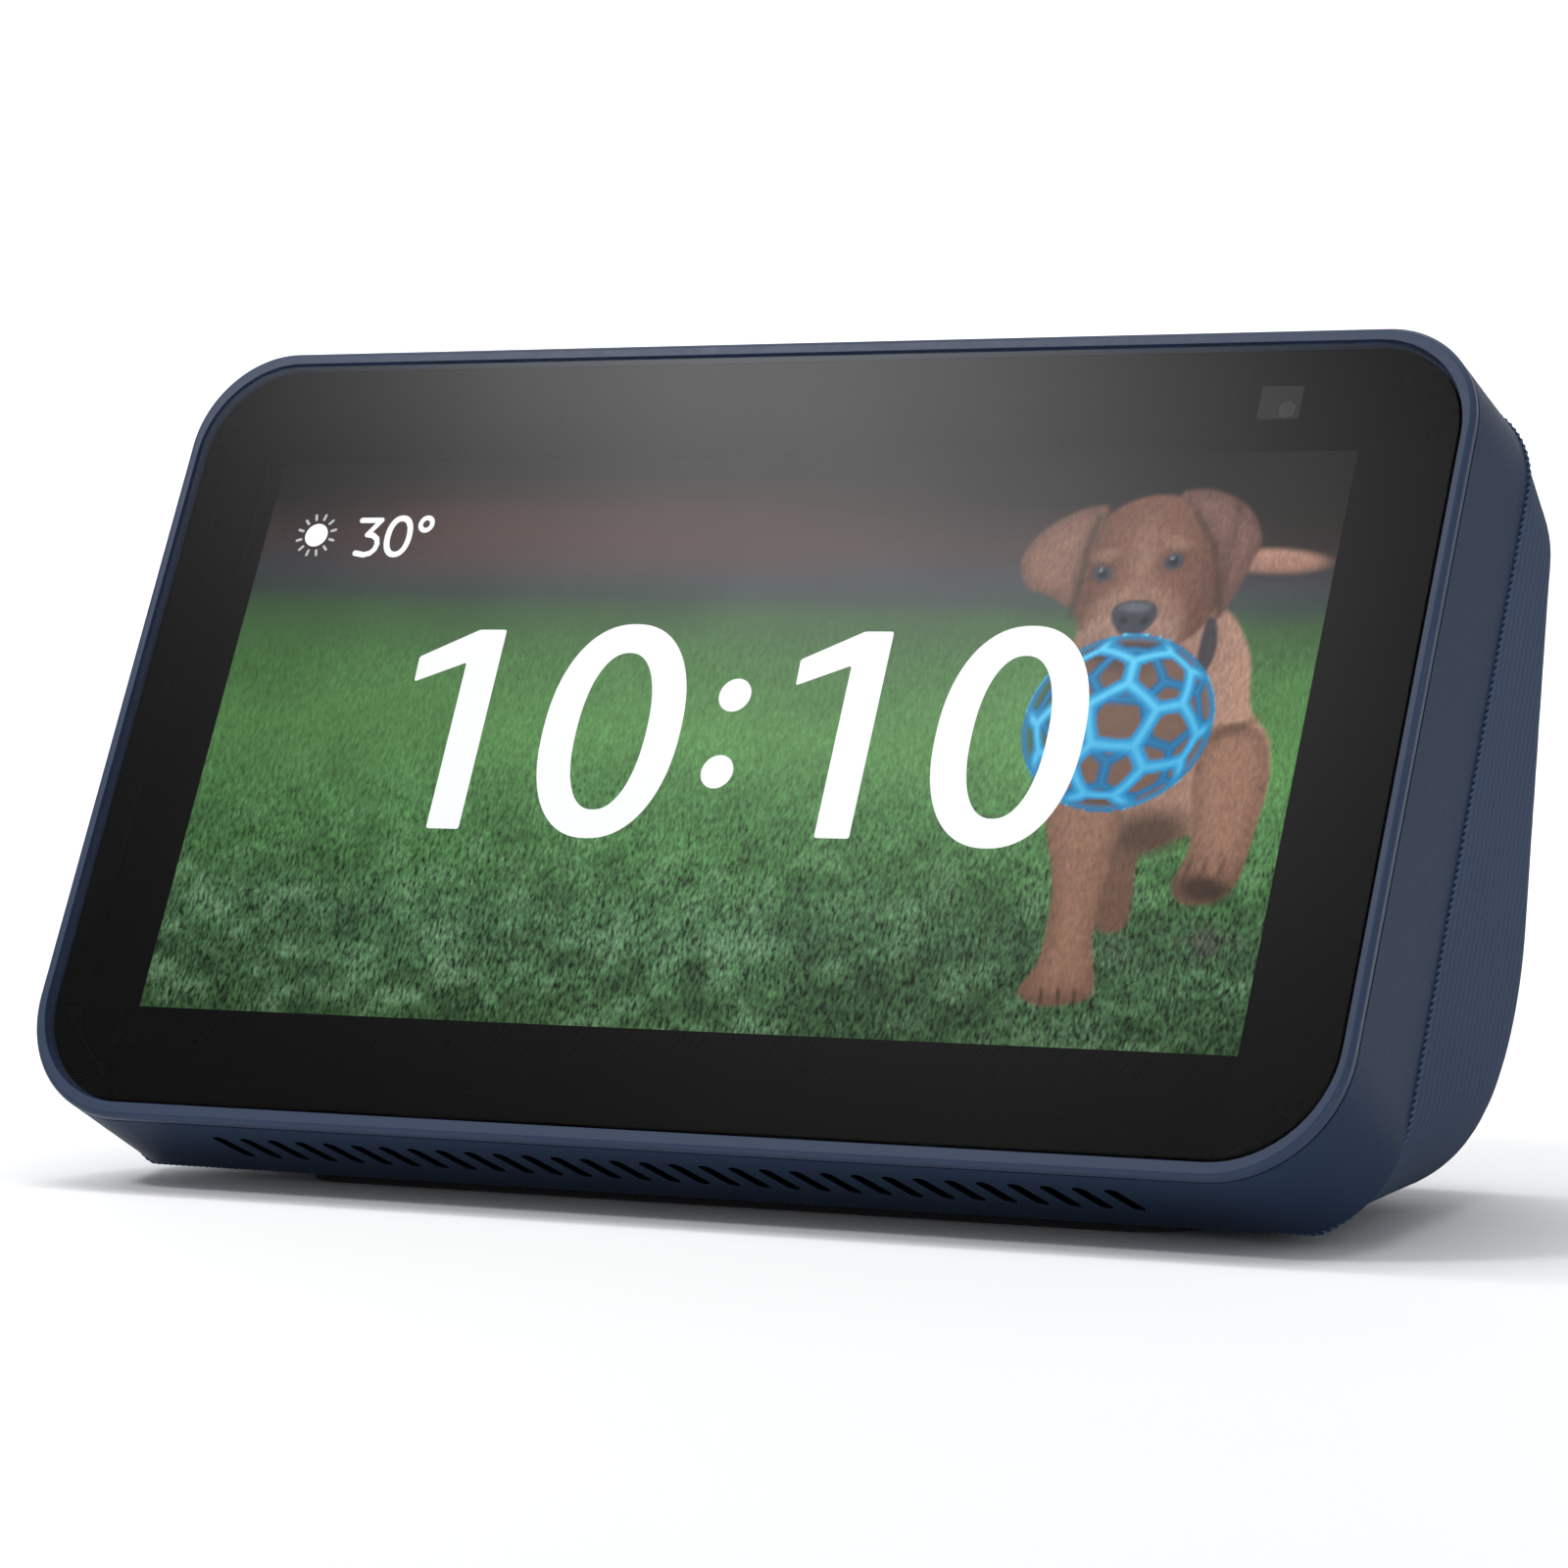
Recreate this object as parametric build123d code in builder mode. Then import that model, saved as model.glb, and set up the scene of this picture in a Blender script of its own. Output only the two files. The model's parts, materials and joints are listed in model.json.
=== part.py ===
from build123d import *
import math
import os

# Smart display: a tilted touch screen in a wedge-shaped body, wrapped in fabric behind a plastic front band.
# Frame: origin under the middle of the body on the ground, +X to the right seen from the front,
# the screen looks towards -Y and leans back, +Z is up. Millimetres.
#
# Most pieces are placed in the face frame: u along +X, v up the face from the rim's lower edge,
# and depth behind the face, at right angles to it.

# ---------------------------------------------------------------- driving dimensions
WIDTH = 148.0
HEIGHT = 86.0
DEPTH = 73.0
TILT = 25.4  # degrees that the screen leans back
CHIN_RISE = 7.5  # the rim's lower edge above the ground
RIM_ROUND = 0.5
SHELL_DEPTH = 16.0  # plastic band behind the face; the fabric starts here
TAIL_DEPTH = 75.0  # section past the back, where the body's taper is stated
GROUND_GAP = 1.4  # the shell's underside above the ground
BACK_RADIUS = 25.0
BACK_LEAN = 5.0  # degrees that the back leans forward
BACK_EDGE_ROUND = 12.0
FABRIC = 0.8
WALL = 2.0
FRONT_WALL = 2.2

TONGUE_INSET = 3.0
TONGUE_WALL = 1.2
TONGUE_LENGTH = 3.5
COLLAR_DEPTH = 13.0

GLASS_WIDTH = 145.6
GLASS_LOW = 1.7
GLASS_TOP = 85.7
GLASS_RADII = (11.6, 10.2)  # lower, upper
GLASS_FRONT = 0.1
GLASS_THICKNESS = 1.1
GLASS_GAP = 0.1
MASK_THICKNESS = 0.1
STACK_FRONT = 1.3  # front of the display panel and of the tape, behind the mask
ACTIVE_WIDTH = 124.1
ACTIVE_HEIGHT = 62.05
ACTIVE_CENTRE = 43.5
CAMERA_U = 53.6
CAMERA_V = 79.1
WINDOW_SIZE = (4.5, 3.6)
WINDOW_CENTRE = (52.85, 79.8)

PANEL_SIZE = (128.8, 67.6)
PANEL_CENTRE = 42.0
PANEL_THICKNESS = 1.5
BACKLIGHT_THICKNESS = 1.8
TRAY_SHEET = 0.4
TRAY_CLEARANCE = 0.1
TRAY_DEPTH = (2.0, 5.0)

BEZEL_BACK = 1.4
LEDGE_FRONT = 1.6
LEDGE_BACK = 3.4
GROOVE_INSET = 0.35
GROOVE_WIDTH = 0.3
OPENING_WIDTH = 131.6
OPENING_LOW = 7.2
OPENING_TOP = 76.6

SLOT_COUNT = 31
SLOT_PITCH = 3.36
SLOT_LENGTH = 5.75
SLOT_WIDTH = 1.5
SLOT_SLANT = 12.0
SLOT_DEPTH_CENTRE = 7.5

BUTTON_DEPTH = 8.5
BUTTON_PLACES = {"mute": -17.0, "volume_down": 0.0, "volume_up": 17.0}
BUTTON_SIZE = (11.0, 5.0)
BUTTON_TOP = 88.0
BUTTON_CLEARANCE = 0.25
FLANGE_SIZE = (13.4, 7.4)
FLANGE_V = (84.1, 84.9)
PUSHER_RADIUS = 1.2
PLUNGER_RADIUS = 0.9
PLUNGER_V = (82.0, 83.0)
SWITCH_SIZE = (4.5, 4.5)
BUTTON_BOARD_V = (79.6, 80.6)
SWITCH_TOP = 82.4

SHUTTER_TRAVEL = 6.5
SHUTTER_OPEN = 59.6
KNOB_SIZE = (6.5, 4.6)
KNOB_V = (86.75, 88.1)
TRACK_FLOOR = 86.6
STEM = 2.6
SLIDER_PLATE_V = (83.2, 84.4)
SLIDER_PLATE_WIDTH = 9.0
BLADE_SIZE = (7.0, 5.4)
BLADE_V = 79.6
BLADE_DEPTH = (1.6, 1.9)
POCKET_U = 56.4
POCKET_WIDTH = 16.8
POCKET_TOP = 85.2
POCKET_FLOOR = 2.2
CHANNEL_LOW = 82.6
SENSOR_SPOT = (44.0, 79.5)

MIC_U = 31.0
BOARD_BOSS_U = 26.6
BOARD_BOSSES = [(-BOARD_BOSS_U, BUTTON_DEPTH), (BOARD_BOSS_U, BUTTON_DEPTH)]

FRAME_DEPTH = (5.6, 6.8)
FRAME_SIZE = (141.6, 65.5)
FRAME_CENTRE = 41.75
FRAME_SCREWS = [(u, v) for u in (-68.4, 68.4) for v in (14.0, 43.0, 72.0)]
BOARD_DEPTH = (9.8, 11.0)
BOARD_SIZE = (116.0, 56.0)
BOARD_CENTRE = 42.0
BOARD_SCREWS = [(u, v) for u in (-55.5, 55.5) for v in (18.0, 66.0)]
CAN_SIZE = (48.0, 30.0)
CAN_CENTRE = (-8.0, 42.0)
CAN_DEPTH = 13.4
CAN_SHEET = 0.25
SPREADER_SIZE = (60.0, 36.0)
CONNECTOR_HEIGHT = 1.4
FLEX_U = {"camera": 50.0, "button": -5.0}
BARREL_FRONT = 2.3
CHIPS = [((-16.0, 42.0), (14.0, 14.0), 1.2), ((4.0, 43.0), (12.0, 10.0), 1.0), ((3.0, 32.0), (6.0, 6.0), 0.9)]

M2_HEAD = (1.9, 1.3)  # radius, height
M2_SHANK = (0.95, 4.2)  # radius, length
M25_HEAD = (2.2, 1.5)
M25_SHANK = (1.2, 7.0)
BASE_SHANK = (1.2, 6.0)
BASE_HEAD_Z = 1.8
SCREW_CLEARANCE = 0.05

SPEAKER_Y = 4.0
FLANGE_RADIUS = 20.5
FLANGE_Z = (8.8, 10.3)
CONE_TRAVEL = 1.2
BOX_HALF_WIDTH = 34.0
BOX_FLOOR_Z = 10.8
BOX_TOP_Z = 44.0
BOX_WALL = 1.6
BOX_DEPTH = 15.5  # the box's front wall, behind the face
BOX_FRONT_V = 11.0
BOX_TOP_V = 47.8
BOX_BACK_LOW_Y = 25.3
BOX_BACK_Y = 20.5
BOX_HOLE = 19.3
BOX_EARS = [(x, y) for x in (-38.0, 38.0) for y in (-8.0, 14.0)]

FOOT_THICKNESS = 0.9
PLATE_HALF_WIDTH = 52.0
PLATE_Y = (-20.0, 10.0)
BASE_SCREWS = [(x, y) for x in (-46.0, 46.0) for y in (-14.0, 4.0)]
TAB_Z = (4.4, 8.5)
TAB_Y = (-25.3, -10.5)
MAGNET_PLACES = [(-28.0, -7.6), (28.0, -7.6)]
MAGNET_RADIUS = 6.0

PORT_Z = 35.0
PORT_SIZE = (25.0, 10.4)
JACK_X = 6.0  # in the back plane's own frame, to the right seen from behind
USB_X = -5.5
JACK_BORE = 2.1
JACK_FLOOR = 10.2  # the bore's floor, in from the back plane
JACK_PIN = 0.825
JACK_PIN_LENGTH = 8.5
LEDGE_X = 16.0
BOARD_Y = (-2.6, -1.4)  # socket board, below the sockets' centre line
BOARD_HOLES = [(-LEDGE_X, 8.0), (LEDGE_X, 8.0)]
CABLE_X = 44.0
CABLE_DEPTH = 12.0
CABLE_END = 12.8
CABLE_V = 34.9
WIRE_U = 24.0
WIRE_V = 32.0

# ---------------------------------------------------------------- planes and outlines
slope = math.radians(TILT)
lean = math.radians(BACK_LEAN)
# The rim's front edge is rounded, so its sharp corners stand this far outside the overall box.
rounding_loss = RIM_ROUND * (math.sin(slope) + math.cos(slope) - 1)
FACE_HEIGHT = (HEIGHT + rounding_loss - CHIN_RISE) / math.cos(slope)
FACE_ORIGIN = Vector(0, -DEPTH / 2 - rounding_loss, CHIN_RISE)
UP_FACE = Vector(0, math.sin(slope), math.cos(slope))
INTO_FACE = Vector(0, math.cos(slope), -math.sin(slope))
face = Plane(origin=FACE_ORIGIN, x_dir=(1, 0, 0), z_dir=-INTO_FACE)
shelf = Plane(origin=FACE_ORIGIN, x_dir=(1, 0, 0), z_dir=UP_FACE)
side_view = Plane(origin=FACE_ORIGIN, x_dir=INTO_FACE, z_dir=(1, 0, 0))

# depth, half width, rise of the top, rise of the bottom, lower and upper corner radii
STATIONS = [
    (0.0, WIDTH / 2, 0.0, 0.0, 13.0, 10.7),
    (SHELL_DEPTH, 73.4, 0.4, 0.0, 11.0, 10.5),
    (TAIL_DEPTH, 61.5, 3.8, -0.5, 29.0, 17.0),
]

back_centre_y = DEPTH / 2 - BACK_RADIUS
back_centre_z = GROUND_GAP + BACK_RADIUS
back_start_y = back_centre_y + BACK_RADIUS * math.cos(lean)
back_start_z = back_centre_z + BACK_RADIUS * math.sin(lean)
port_y = back_start_y - (PORT_Z - back_start_z) * math.tan(lean)
back = Plane(origin=(0, port_y, PORT_Z), x_dir=(-1, 0, 0), z_dir=(0, math.cos(lean), math.sin(lean)))
# Level shelf through the sockets' centre: local (to the right seen from behind, inwards), up.
port_shelf = Plane(origin=back.origin, x_dir=(-1, 0, 0), z_dir=(0, -math.sin(lean), math.cos(lean)))
speaker_plane = Plane(origin=(0, SPEAKER_Y, 0), x_dir=(1, 0, 0), z_dir=(0, -1, 0))
speaker_axis = Axis((0, SPEAKER_Y, 0), (0, 0, 1))


def behind(depth):
    """Plane parallel to the screen at a depth behind the rim: local (u, v), towards the viewer."""
    return face.offset(-depth)


def above(height):
    """Plane square to the face at a height v up it: local (u, depth), up the face."""
    return shelf.offset(height)


def level(height):
    """Horizontal plane at a height above the ground."""
    return Plane.XY.offset(height)


def in_face(u, v, depth):
    """Point of the row frame at a place in the face frame."""
    return FACE_ORIGIN + Vector(u, 0, 0) + UP_FACE * v + INTO_FACE * depth


def outline(plane, half_width, bottom, top, lower_radius, upper_radius):
    """Rounded outline, as wide on both sides, with its own radii at the lower and upper corners."""
    corners = [(-half_width, bottom), (half_width, bottom), (half_width, top), (-half_width, top)]
    with BuildSketch(plane) as shape:
        with BuildLine():
            FilletPolyline(
                *corners, radius=(lower_radius, lower_radius, upper_radius, upper_radius), close=True
            )
        make_face()
    return shape.sketch


def glass_outline(plane, inset):
    """The cover glass's outline, moved in by an inset."""
    lower, upper = GLASS_RADII
    half = GLASS_WIDTH / 2 - inset
    return outline(plane, half, GLASS_LOW + inset, GLASS_TOP - inset, lower - inset, upper - inset)


def body_section(depth, inset):
    """The body's outline parallel to the screen at a depth, moved in all round by an inset."""
    near, far = (STATIONS[0], STATIONS[1]) if depth <= SHELL_DEPTH else (STATIONS[1], STATIONS[2])
    share = (depth - near[0]) / (far[0] - near[0])
    half, rise, foot, lower, upper = [a + share * (b - a) for a, b in zip(near[1:], far[1:])]
    return outline(
        behind(depth), half - inset, foot + inset, FACE_HEIGHT + rise - inset, lower - inset, upper - inset
    )


def side_profile(inset):
    """Region over the ground line, the lower back's curve and the leaning back, on the centre plane."""
    ground = GROUND_GAP + inset
    radius = BACK_RADIUS - inset
    tangent = (back_centre_y + radius * math.cos(lean), back_centre_z + radius * math.sin(lean))
    back_top = (tangent[0] - HEIGHT * math.tan(lean), tangent[1] + HEIGHT)
    front_top = (-DEPTH, back_top[1])
    with BuildSketch(Plane.YZ) as profile:
        with BuildLine():
            Polyline(front_top, (-DEPTH, ground), (back_centre_y, ground))
            RadiusArc((back_centre_y, ground), tangent, -radius)
            Polyline(tangent, back_top, front_top)
        make_face()
    return profile.sketch


def on_profile(edge, profile_wire):
    """True for an edge that runs round the base and back, not across them."""
    middle = edge @ 0.5
    if abs(middle.X) < 1 and middle.Z < HEIGHT / 2:
        return False
    points = [edge @ share for share in (0, 0.25, 0.5, 0.75, 1)]
    return all(profile_wire.distance_to(Vertex(0, p.Y, p.Z)) < 0.02 for p in points)


def body_block(near, far, inset):
    """Solid of the body between two depths, every side moved in by an inset."""
    profile = side_profile(inset)
    with BuildPart() as block:
        add(body_section(near, inset))
        add(body_section(far, inset))
        loft(ruled=True)
        extrude(profile, amount=WIDTH, both=True, mode=Mode.INTERSECT)
        if far > SHELL_DEPTH:
            wire = profile.faces()[0].outer_wire()
            edges = [edge for edge in block.edges() if on_profile(edge, wire)]
            fillet(edges, BACK_EDGE_ROUND - inset)
    return block.part


def pill(plane, size, places, grow=0.0):
    """Slots with round ends, centred on the places given."""
    with BuildSketch(plane) as shape:
        with Locations(*places):
            SlotOverall(size[0] + 2 * grow, size[1] + 2 * grow)
    return shape.sketch


def rectangle(plane, size, places):
    """Rectangles centred on the places given."""
    with BuildSketch(plane) as shape:
        with Locations(*places):
            Rectangle(*size)
    return shape.sketch


def discs(plane, radius, places):
    """Circles centred on the places given."""
    with BuildSketch(plane) as shape:
        with Locations(*places):
            Circle(radius)
    return shape.sketch


def rounded_slab(plane, size, centre, radius):
    """Rectangle with rounded corners."""
    with BuildSketch(plane) as shape:
        with Locations(centre):
            RectangleRounded(*size, radius)
    return shape.sketch


def ribbon(points, radius, thickness):
    """Section of a flat flexible cable in the side view, along points of (depth, v)."""
    with BuildSketch() as shape:
        with BuildLine() as path:
            FilletPolyline(*points, radius=radius)
        trace(path.edges(), line_width=thickness)
    return shape.sketch


def ring_section(points):
    """Section of a turned speaker piece, as points of (radius, height)."""
    with BuildSketch(speaker_plane) as shape:
        with BuildLine():
            Polyline(*points, close=True)
        make_face()
    return shape.sketch


def screw_group(seats, head, shank):
    """Screws with cross recesses; each seat plane lies under a head and faces out of it."""
    head_radius, head_height = head
    shank_radius, shank_length = shank
    with BuildPart() as group:
        for seat in seats:
            with BuildSketch(seat):
                Circle(head_radius)
            extrude(amount=head_height)
            with BuildSketch(seat):
                Circle(shank_radius)
            extrude(amount=-shank_length)
            with BuildSketch(seat.offset(head_height)):
                Rectangle(head_radius, head_radius / 4)
                Rectangle(head_radius / 4, head_radius)
            extrude(amount=-head_height / 2, mode=Mode.SUBTRACT)
    return group.part


# ---------------------------------------------------------------- body solids used by several shells
front_outer = body_block(BEZEL_BACK, SHELL_DEPTH, 0)
front_inner = body_block(LEDGE_BACK, SHELL_DEPTH, FRONT_WALL)
rim_outer = body_block(0, BEZEL_BACK - GROOVE_WIDTH, 0)
rim_step = body_block(BEZEL_BACK - GROOVE_WIDTH, BEZEL_BACK, GROOVE_INSET)
rear_outer = body_block(SHELL_DEPTH, TAIL_DEPTH, 0)
rear_shell = body_block(SHELL_DEPTH, TAIL_DEPTH, FABRIC)
rear_inner = body_block(SHELL_DEPTH, TAIL_DEPTH, FABRIC + WALL)
tongue_outer = body_block(SHELL_DEPTH, TAIL_DEPTH, TONGUE_INSET)
tongue_inner = body_block(SHELL_DEPTH, TAIL_DEPTH, TONGUE_INSET + TONGUE_WALL)
collar_outer = body_block(COLLAR_DEPTH, SHELL_DEPTH, FRONT_WALL - 0.1)
collar_inner = body_block(COLLAR_DEPTH, SHELL_DEPTH, TONGUE_INSET + TONGUE_WALL)
out_of_face = Axis(FACE_ORIGIN, -INTO_FACE)

# The tongue lines the rear housing up with the front one.
with BuildPart() as tongue:
    add(tongue_outer)
    add(tongue_inner, mode=Mode.SUBTRACT)
    extrude(
        rectangle(behind(SHELL_DEPTH), (2 * WIDTH, 3 * HEIGHT), [(0, 0)]),
        amount=-TONGUE_LENGTH, mode=Mode.INTERSECT,
    )
with BuildPart() as collar:
    add(collar_outer)
    add(collar_inner, mode=Mode.SUBTRACT)

# ---------------------------------------------------------------- screen stack
with BuildPart() as cover_glass:
    extrude(glass_outline(behind(GLASS_FRONT), 0), amount=-GLASS_THICKNESS)
    fillet(cover_glass.faces().sort_by(out_of_face)[-1].edges(), 0.3)

with BuildPart() as bezel_mask:
    mask_plane = behind(GLASS_FRONT + GLASS_THICKNESS)
    extrude(glass_outline(mask_plane, 0.3), amount=-MASK_THICKNESS)
    extrude(
        rectangle(mask_plane, (ACTIVE_WIDTH, ACTIVE_HEIGHT), [(0, ACTIVE_CENTRE)]),
        amount=-MASK_THICKNESS, mode=Mode.SUBTRACT,
    )
    extrude(
        rectangle(mask_plane, WINDOW_SIZE, [WINDOW_CENTRE]),
        amount=-MASK_THICKNESS, mode=Mode.SUBTRACT,
    )

with BuildPart() as glass_tape:
    extrude(glass_outline(behind(STACK_FRONT), 0.6), amount=STACK_FRONT - LEDGE_FRONT)
    extrude(
        glass_outline(behind(STACK_FRONT), 3.6),
        amount=STACK_FRONT - LEDGE_FRONT, mode=Mode.SUBTRACT,
    )
    extrude(
        rectangle(behind(STACK_FRONT), (POCKET_WIDTH + 1, 8), [(POCKET_U, GLASS_TOP - 4)]),
        amount=STACK_FRONT - LEDGE_FRONT, mode=Mode.SUBTRACT,
    )

with BuildPart() as lcd_panel:
    extrude(rectangle(behind(STACK_FRONT), PANEL_SIZE, [(0, PANEL_CENTRE)]), amount=-PANEL_THICKNESS)

with BuildPart() as backlight_unit:
    extrude(
        rectangle(behind(STACK_FRONT + PANEL_THICKNESS), PANEL_SIZE, [(0, PANEL_CENTRE)]),
        amount=-BACKLIGHT_THICKNESS,
    )

with BuildPart() as lcd_tray:
    tray_inside = (PANEL_SIZE[0] + 2 * TRAY_CLEARANCE, PANEL_SIZE[1] + 2 * TRAY_CLEARANCE)
    tray_outside = (tray_inside[0] + 2 * TRAY_SHEET, tray_inside[1] + 2 * TRAY_SHEET)
    extrude(
        rectangle(behind(TRAY_DEPTH[0]), tray_outside, [(0, PANEL_CENTRE)]),
        amount=TRAY_DEPTH[0] - TRAY_DEPTH[1],
    )
    extrude(
        rectangle(behind(TRAY_DEPTH[0]), tray_inside, [(0, PANEL_CENTRE)]),
        amount=TRAY_DEPTH[0] - TRAY_DEPTH[1] + TRAY_SHEET, mode=Mode.SUBTRACT,
    )

# ---------------------------------------------------------------- front shells
with BuildPart() as front_bezel:
    add(rim_outer)
    fillet(front_bezel.faces().sort_by(out_of_face)[-1].edges(), RIM_ROUND)
    add(rim_step)
    extrude(glass_outline(behind(0), -GLASS_GAP), amount=-BEZEL_BACK, mode=Mode.SUBTRACT)

with BuildPart() as front_housing:
    add(front_outer)
    add(front_inner, mode=Mode.SUBTRACT)
    add(collar.part)
    add(tongue.part)
    # bosses for the inner frame, the button board and the base screws
    extrude(discs(behind(LEDGE_BACK), 2.5, FRAME_SCREWS), amount=LEDGE_BACK - FRAME_DEPTH[0])
    extrude(
        discs(above(BUTTON_BOARD_V[1]), 2.2, BOARD_BOSSES),
        amount=5,
    )
    extrude(
        rectangle(level(TAB_Z[0]), (8, TAB_Y[1] - TAB_Y[0]), [(x, sum(TAB_Y) / 2) for x in (-46, 46)]),
        amount=TAB_Z[1] - TAB_Z[0],
    )
    # seat for the glass tape, and the opening for the display
    extrude(glass_outline(behind(BEZEL_BACK), 0.3), amount=BEZEL_BACK - LEDGE_FRONT, mode=Mode.SUBTRACT)
    opening_height = OPENING_TOP - OPENING_LOW
    extrude(
        rectangle(behind(0), (OPENING_WIDTH, opening_height), [(0, OPENING_LOW + opening_height / 2)]),
        amount=-LEDGE_BACK, mode=Mode.SUBTRACT,
    )
    # camera, light sensor and shutter
    pocket_height = POCKET_TOP - CHANNEL_LOW
    extrude(discs(behind(0), 2.15, [(CAMERA_U, CAMERA_V)]), amount=-LEDGE_BACK, mode=Mode.SUBTRACT)
    extrude(rectangle(behind(0), (3.0, 2.4), [SENSOR_SPOT]), amount=-LEDGE_BACK, mode=Mode.SUBTRACT)
    extrude(
        rectangle(behind(0), (POCKET_WIDTH, pocket_height), [(POCKET_U, CHANNEL_LOW + pocket_height / 2)]),
        amount=-LEDGE_BACK, mode=Mode.SUBTRACT,
    )
    pocket_height = POCKET_TOP - OPENING_TOP
    extrude(
        rectangle(behind(0), (POCKET_WIDTH, pocket_height), [(POCKET_U, OPENING_TOP + pocket_height / 2)]),
        amount=-POCKET_FLOOR, mode=Mode.SUBTRACT,
    )
    track_centre = [(SHUTTER_OPEN - SHUTTER_TRAVEL / 2, BUTTON_DEPTH)]
    extrude(
        pill(above(TRACK_FLOOR), (KNOB_SIZE[0] + SHUTTER_TRAVEL + 0.6, KNOB_SIZE[1] + 0.6), track_centre),
        amount=3, mode=Mode.SUBTRACT,
    )
    extrude(
        rectangle(above(TRACK_FLOOR - 3), (STEM + SHUTTER_TRAVEL + 0.7, STEM + 0.6), track_centre),
        amount=4, mode=Mode.SUBTRACT,
    )
    # buttons and microphones
    button_spots = [(u, BUTTON_DEPTH) for u in BUTTON_PLACES.values()]
    extrude(
        pill(above(FLANGE_V[1]), BUTTON_SIZE, button_spots, BUTTON_CLEARANCE),
        amount=4, mode=Mode.SUBTRACT,
    )
    extrude(
        discs(above(FLANGE_V[1]), 0.7, [(-MIC_U, BUTTON_DEPTH), (MIC_U, BUTTON_DEPTH)]),
        amount=4, mode=Mode.SUBTRACT,
    )
    # slanted sound slots through the chin
    with BuildSketch(above(-1)):
        with Locations((0, SLOT_DEPTH_CENTRE)):
            with GridLocations(SLOT_PITCH, 1, SLOT_COUNT, 1):
                SlotOverall(SLOT_LENGTH, SLOT_WIDTH, rotation=90 - SLOT_SLANT)
    extrude(amount=FRONT_WALL + 2, mode=Mode.SUBTRACT)
    # screw holes
    pilot = M2_SHANK[0] + SCREW_CLEARANCE
    extrude(
        discs(behind(FRAME_DEPTH[1] - M2_SHANK[1] - 0.2), pilot, FRAME_SCREWS),
        amount=-M2_SHANK[1], mode=Mode.SUBTRACT,
    )
    extrude(
        discs(above(BUTTON_BOARD_V[0]), pilot, BOARD_BOSSES),
        amount=M2_SHANK[1] + 0.2, mode=Mode.SUBTRACT,
    )
    extrude(
        discs(level(TAB_Z[0]), M25_SHANK[0] + SCREW_CLEARANCE, BASE_SCREWS),
        amount=BASE_SHANK[1] - TAB_Z[0] + BASE_HEAD_Z + 0.2, mode=Mode.SUBTRACT,
    )

# ---------------------------------------------------------------- rear shells
port_opening = pill(back.offset(2), PORT_SIZE, [(0, 0)], 0.1)
port_cut = pill(back.offset(2), PORT_SIZE, [(0, 0)], 0.3)

with BuildPart() as rear_housing:
    add(rear_shell)
    add(rear_inner, mode=Mode.SUBTRACT)
    floor_z = GROUND_GAP + FABRIC + WALL
    # bosses for the speaker box and the rear base screws, and rings round the magnets
    extrude(discs(level(floor_z - 1), 3.0, BOX_EARS), amount=BOX_FLOOR_Z - floor_z + 1)
    extrude(
        discs(level(floor_z - 1), 3.0, [(x, y) for x, y in BASE_SCREWS if y > 0]),
        amount=TAB_Z[1] - floor_z + 1,
    )
    extrude(discs(level(floor_z - 1), MAGNET_RADIUS + 1.4, MAGNET_PLACES), amount=2.6)
    # ledges under the ends of the socket board
    extrude(rectangle(back.offset(-1.5), (3, 5.4), [(-LEDGE_X, -5.3), (LEDGE_X, -5.3)]), amount=-9.5)
    # pockets and holes
    extrude(discs(level(floor_z), MAGNET_RADIUS + 0.2, MAGNET_PLACES), amount=2, mode=Mode.SUBTRACT)
    extrude(
        discs(level(floor_z + 0.6), M25_SHANK[0] + SCREW_CLEARANCE, BOX_EARS),
        amount=BOX_FLOOR_Z, mode=Mode.SUBTRACT,
    )
    extrude(
        discs(level(0), M25_SHANK[0] + SCREW_CLEARANCE, BASE_SCREWS),
        amount=TAB_Z[1] - 0.4, mode=Mode.SUBTRACT,
    )
    extrude(discs(port_shelf.offset(BOARD_Y[0] - 4), pilot, BOARD_HOLES), amount=5, mode=Mode.SUBTRACT)
    extrude(port_opening, amount=-8, mode=Mode.SUBTRACT)

with BuildPart() as fabric_cover:
    add(rear_outer)
    add(rear_shell, mode=Mode.SUBTRACT)
    extrude(port_cut, amount=-6, mode=Mode.SUBTRACT)
    plate_middle = (0, sum(PLATE_Y) / 2)
    plate_length = PLATE_Y[1] - PLATE_Y[0]
    extrude(
        rounded_slab(level(0), (2 * PLATE_HALF_WIDTH + 0.4, plate_length + 0.4), plate_middle, 8.2),
        amount=GROUND_GAP + FABRIC, mode=Mode.SUBTRACT,
    )

with BuildPart() as base_plate:
    extrude(
        rounded_slab(level(FOOT_THICKNESS), (2 * PLATE_HALF_WIDTH, plate_length), plate_middle, 8.0),
        amount=GROUND_GAP + FABRIC - FOOT_THICKNESS,
    )
    extrude(discs(level(0), M25_SHANK[0] + 0.1, BASE_SCREWS), amount=floor_z, mode=Mode.SUBTRACT)
    extrude(discs(level(0), M25_HEAD[0] + 0.1, BASE_SCREWS), amount=BASE_HEAD_Z, mode=Mode.SUBTRACT)

with BuildPart() as foot_pad:
    extrude(
        rounded_slab(level(0), (2 * PLATE_HALF_WIDTH - 2, plate_length - 1.6), plate_middle, 7.0),
        amount=FOOT_THICKNESS,
    )

with BuildPart() as base_screws:
    seats = [Plane(origin=(x, y, BASE_HEAD_Z), x_dir=(1, 0, 0), z_dir=(0, 0, -1)) for x, y in BASE_SCREWS]
    add(screw_group(seats, (M25_HEAD[0], BASE_HEAD_Z - FOOT_THICKNESS), BASE_SHANK))

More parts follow.
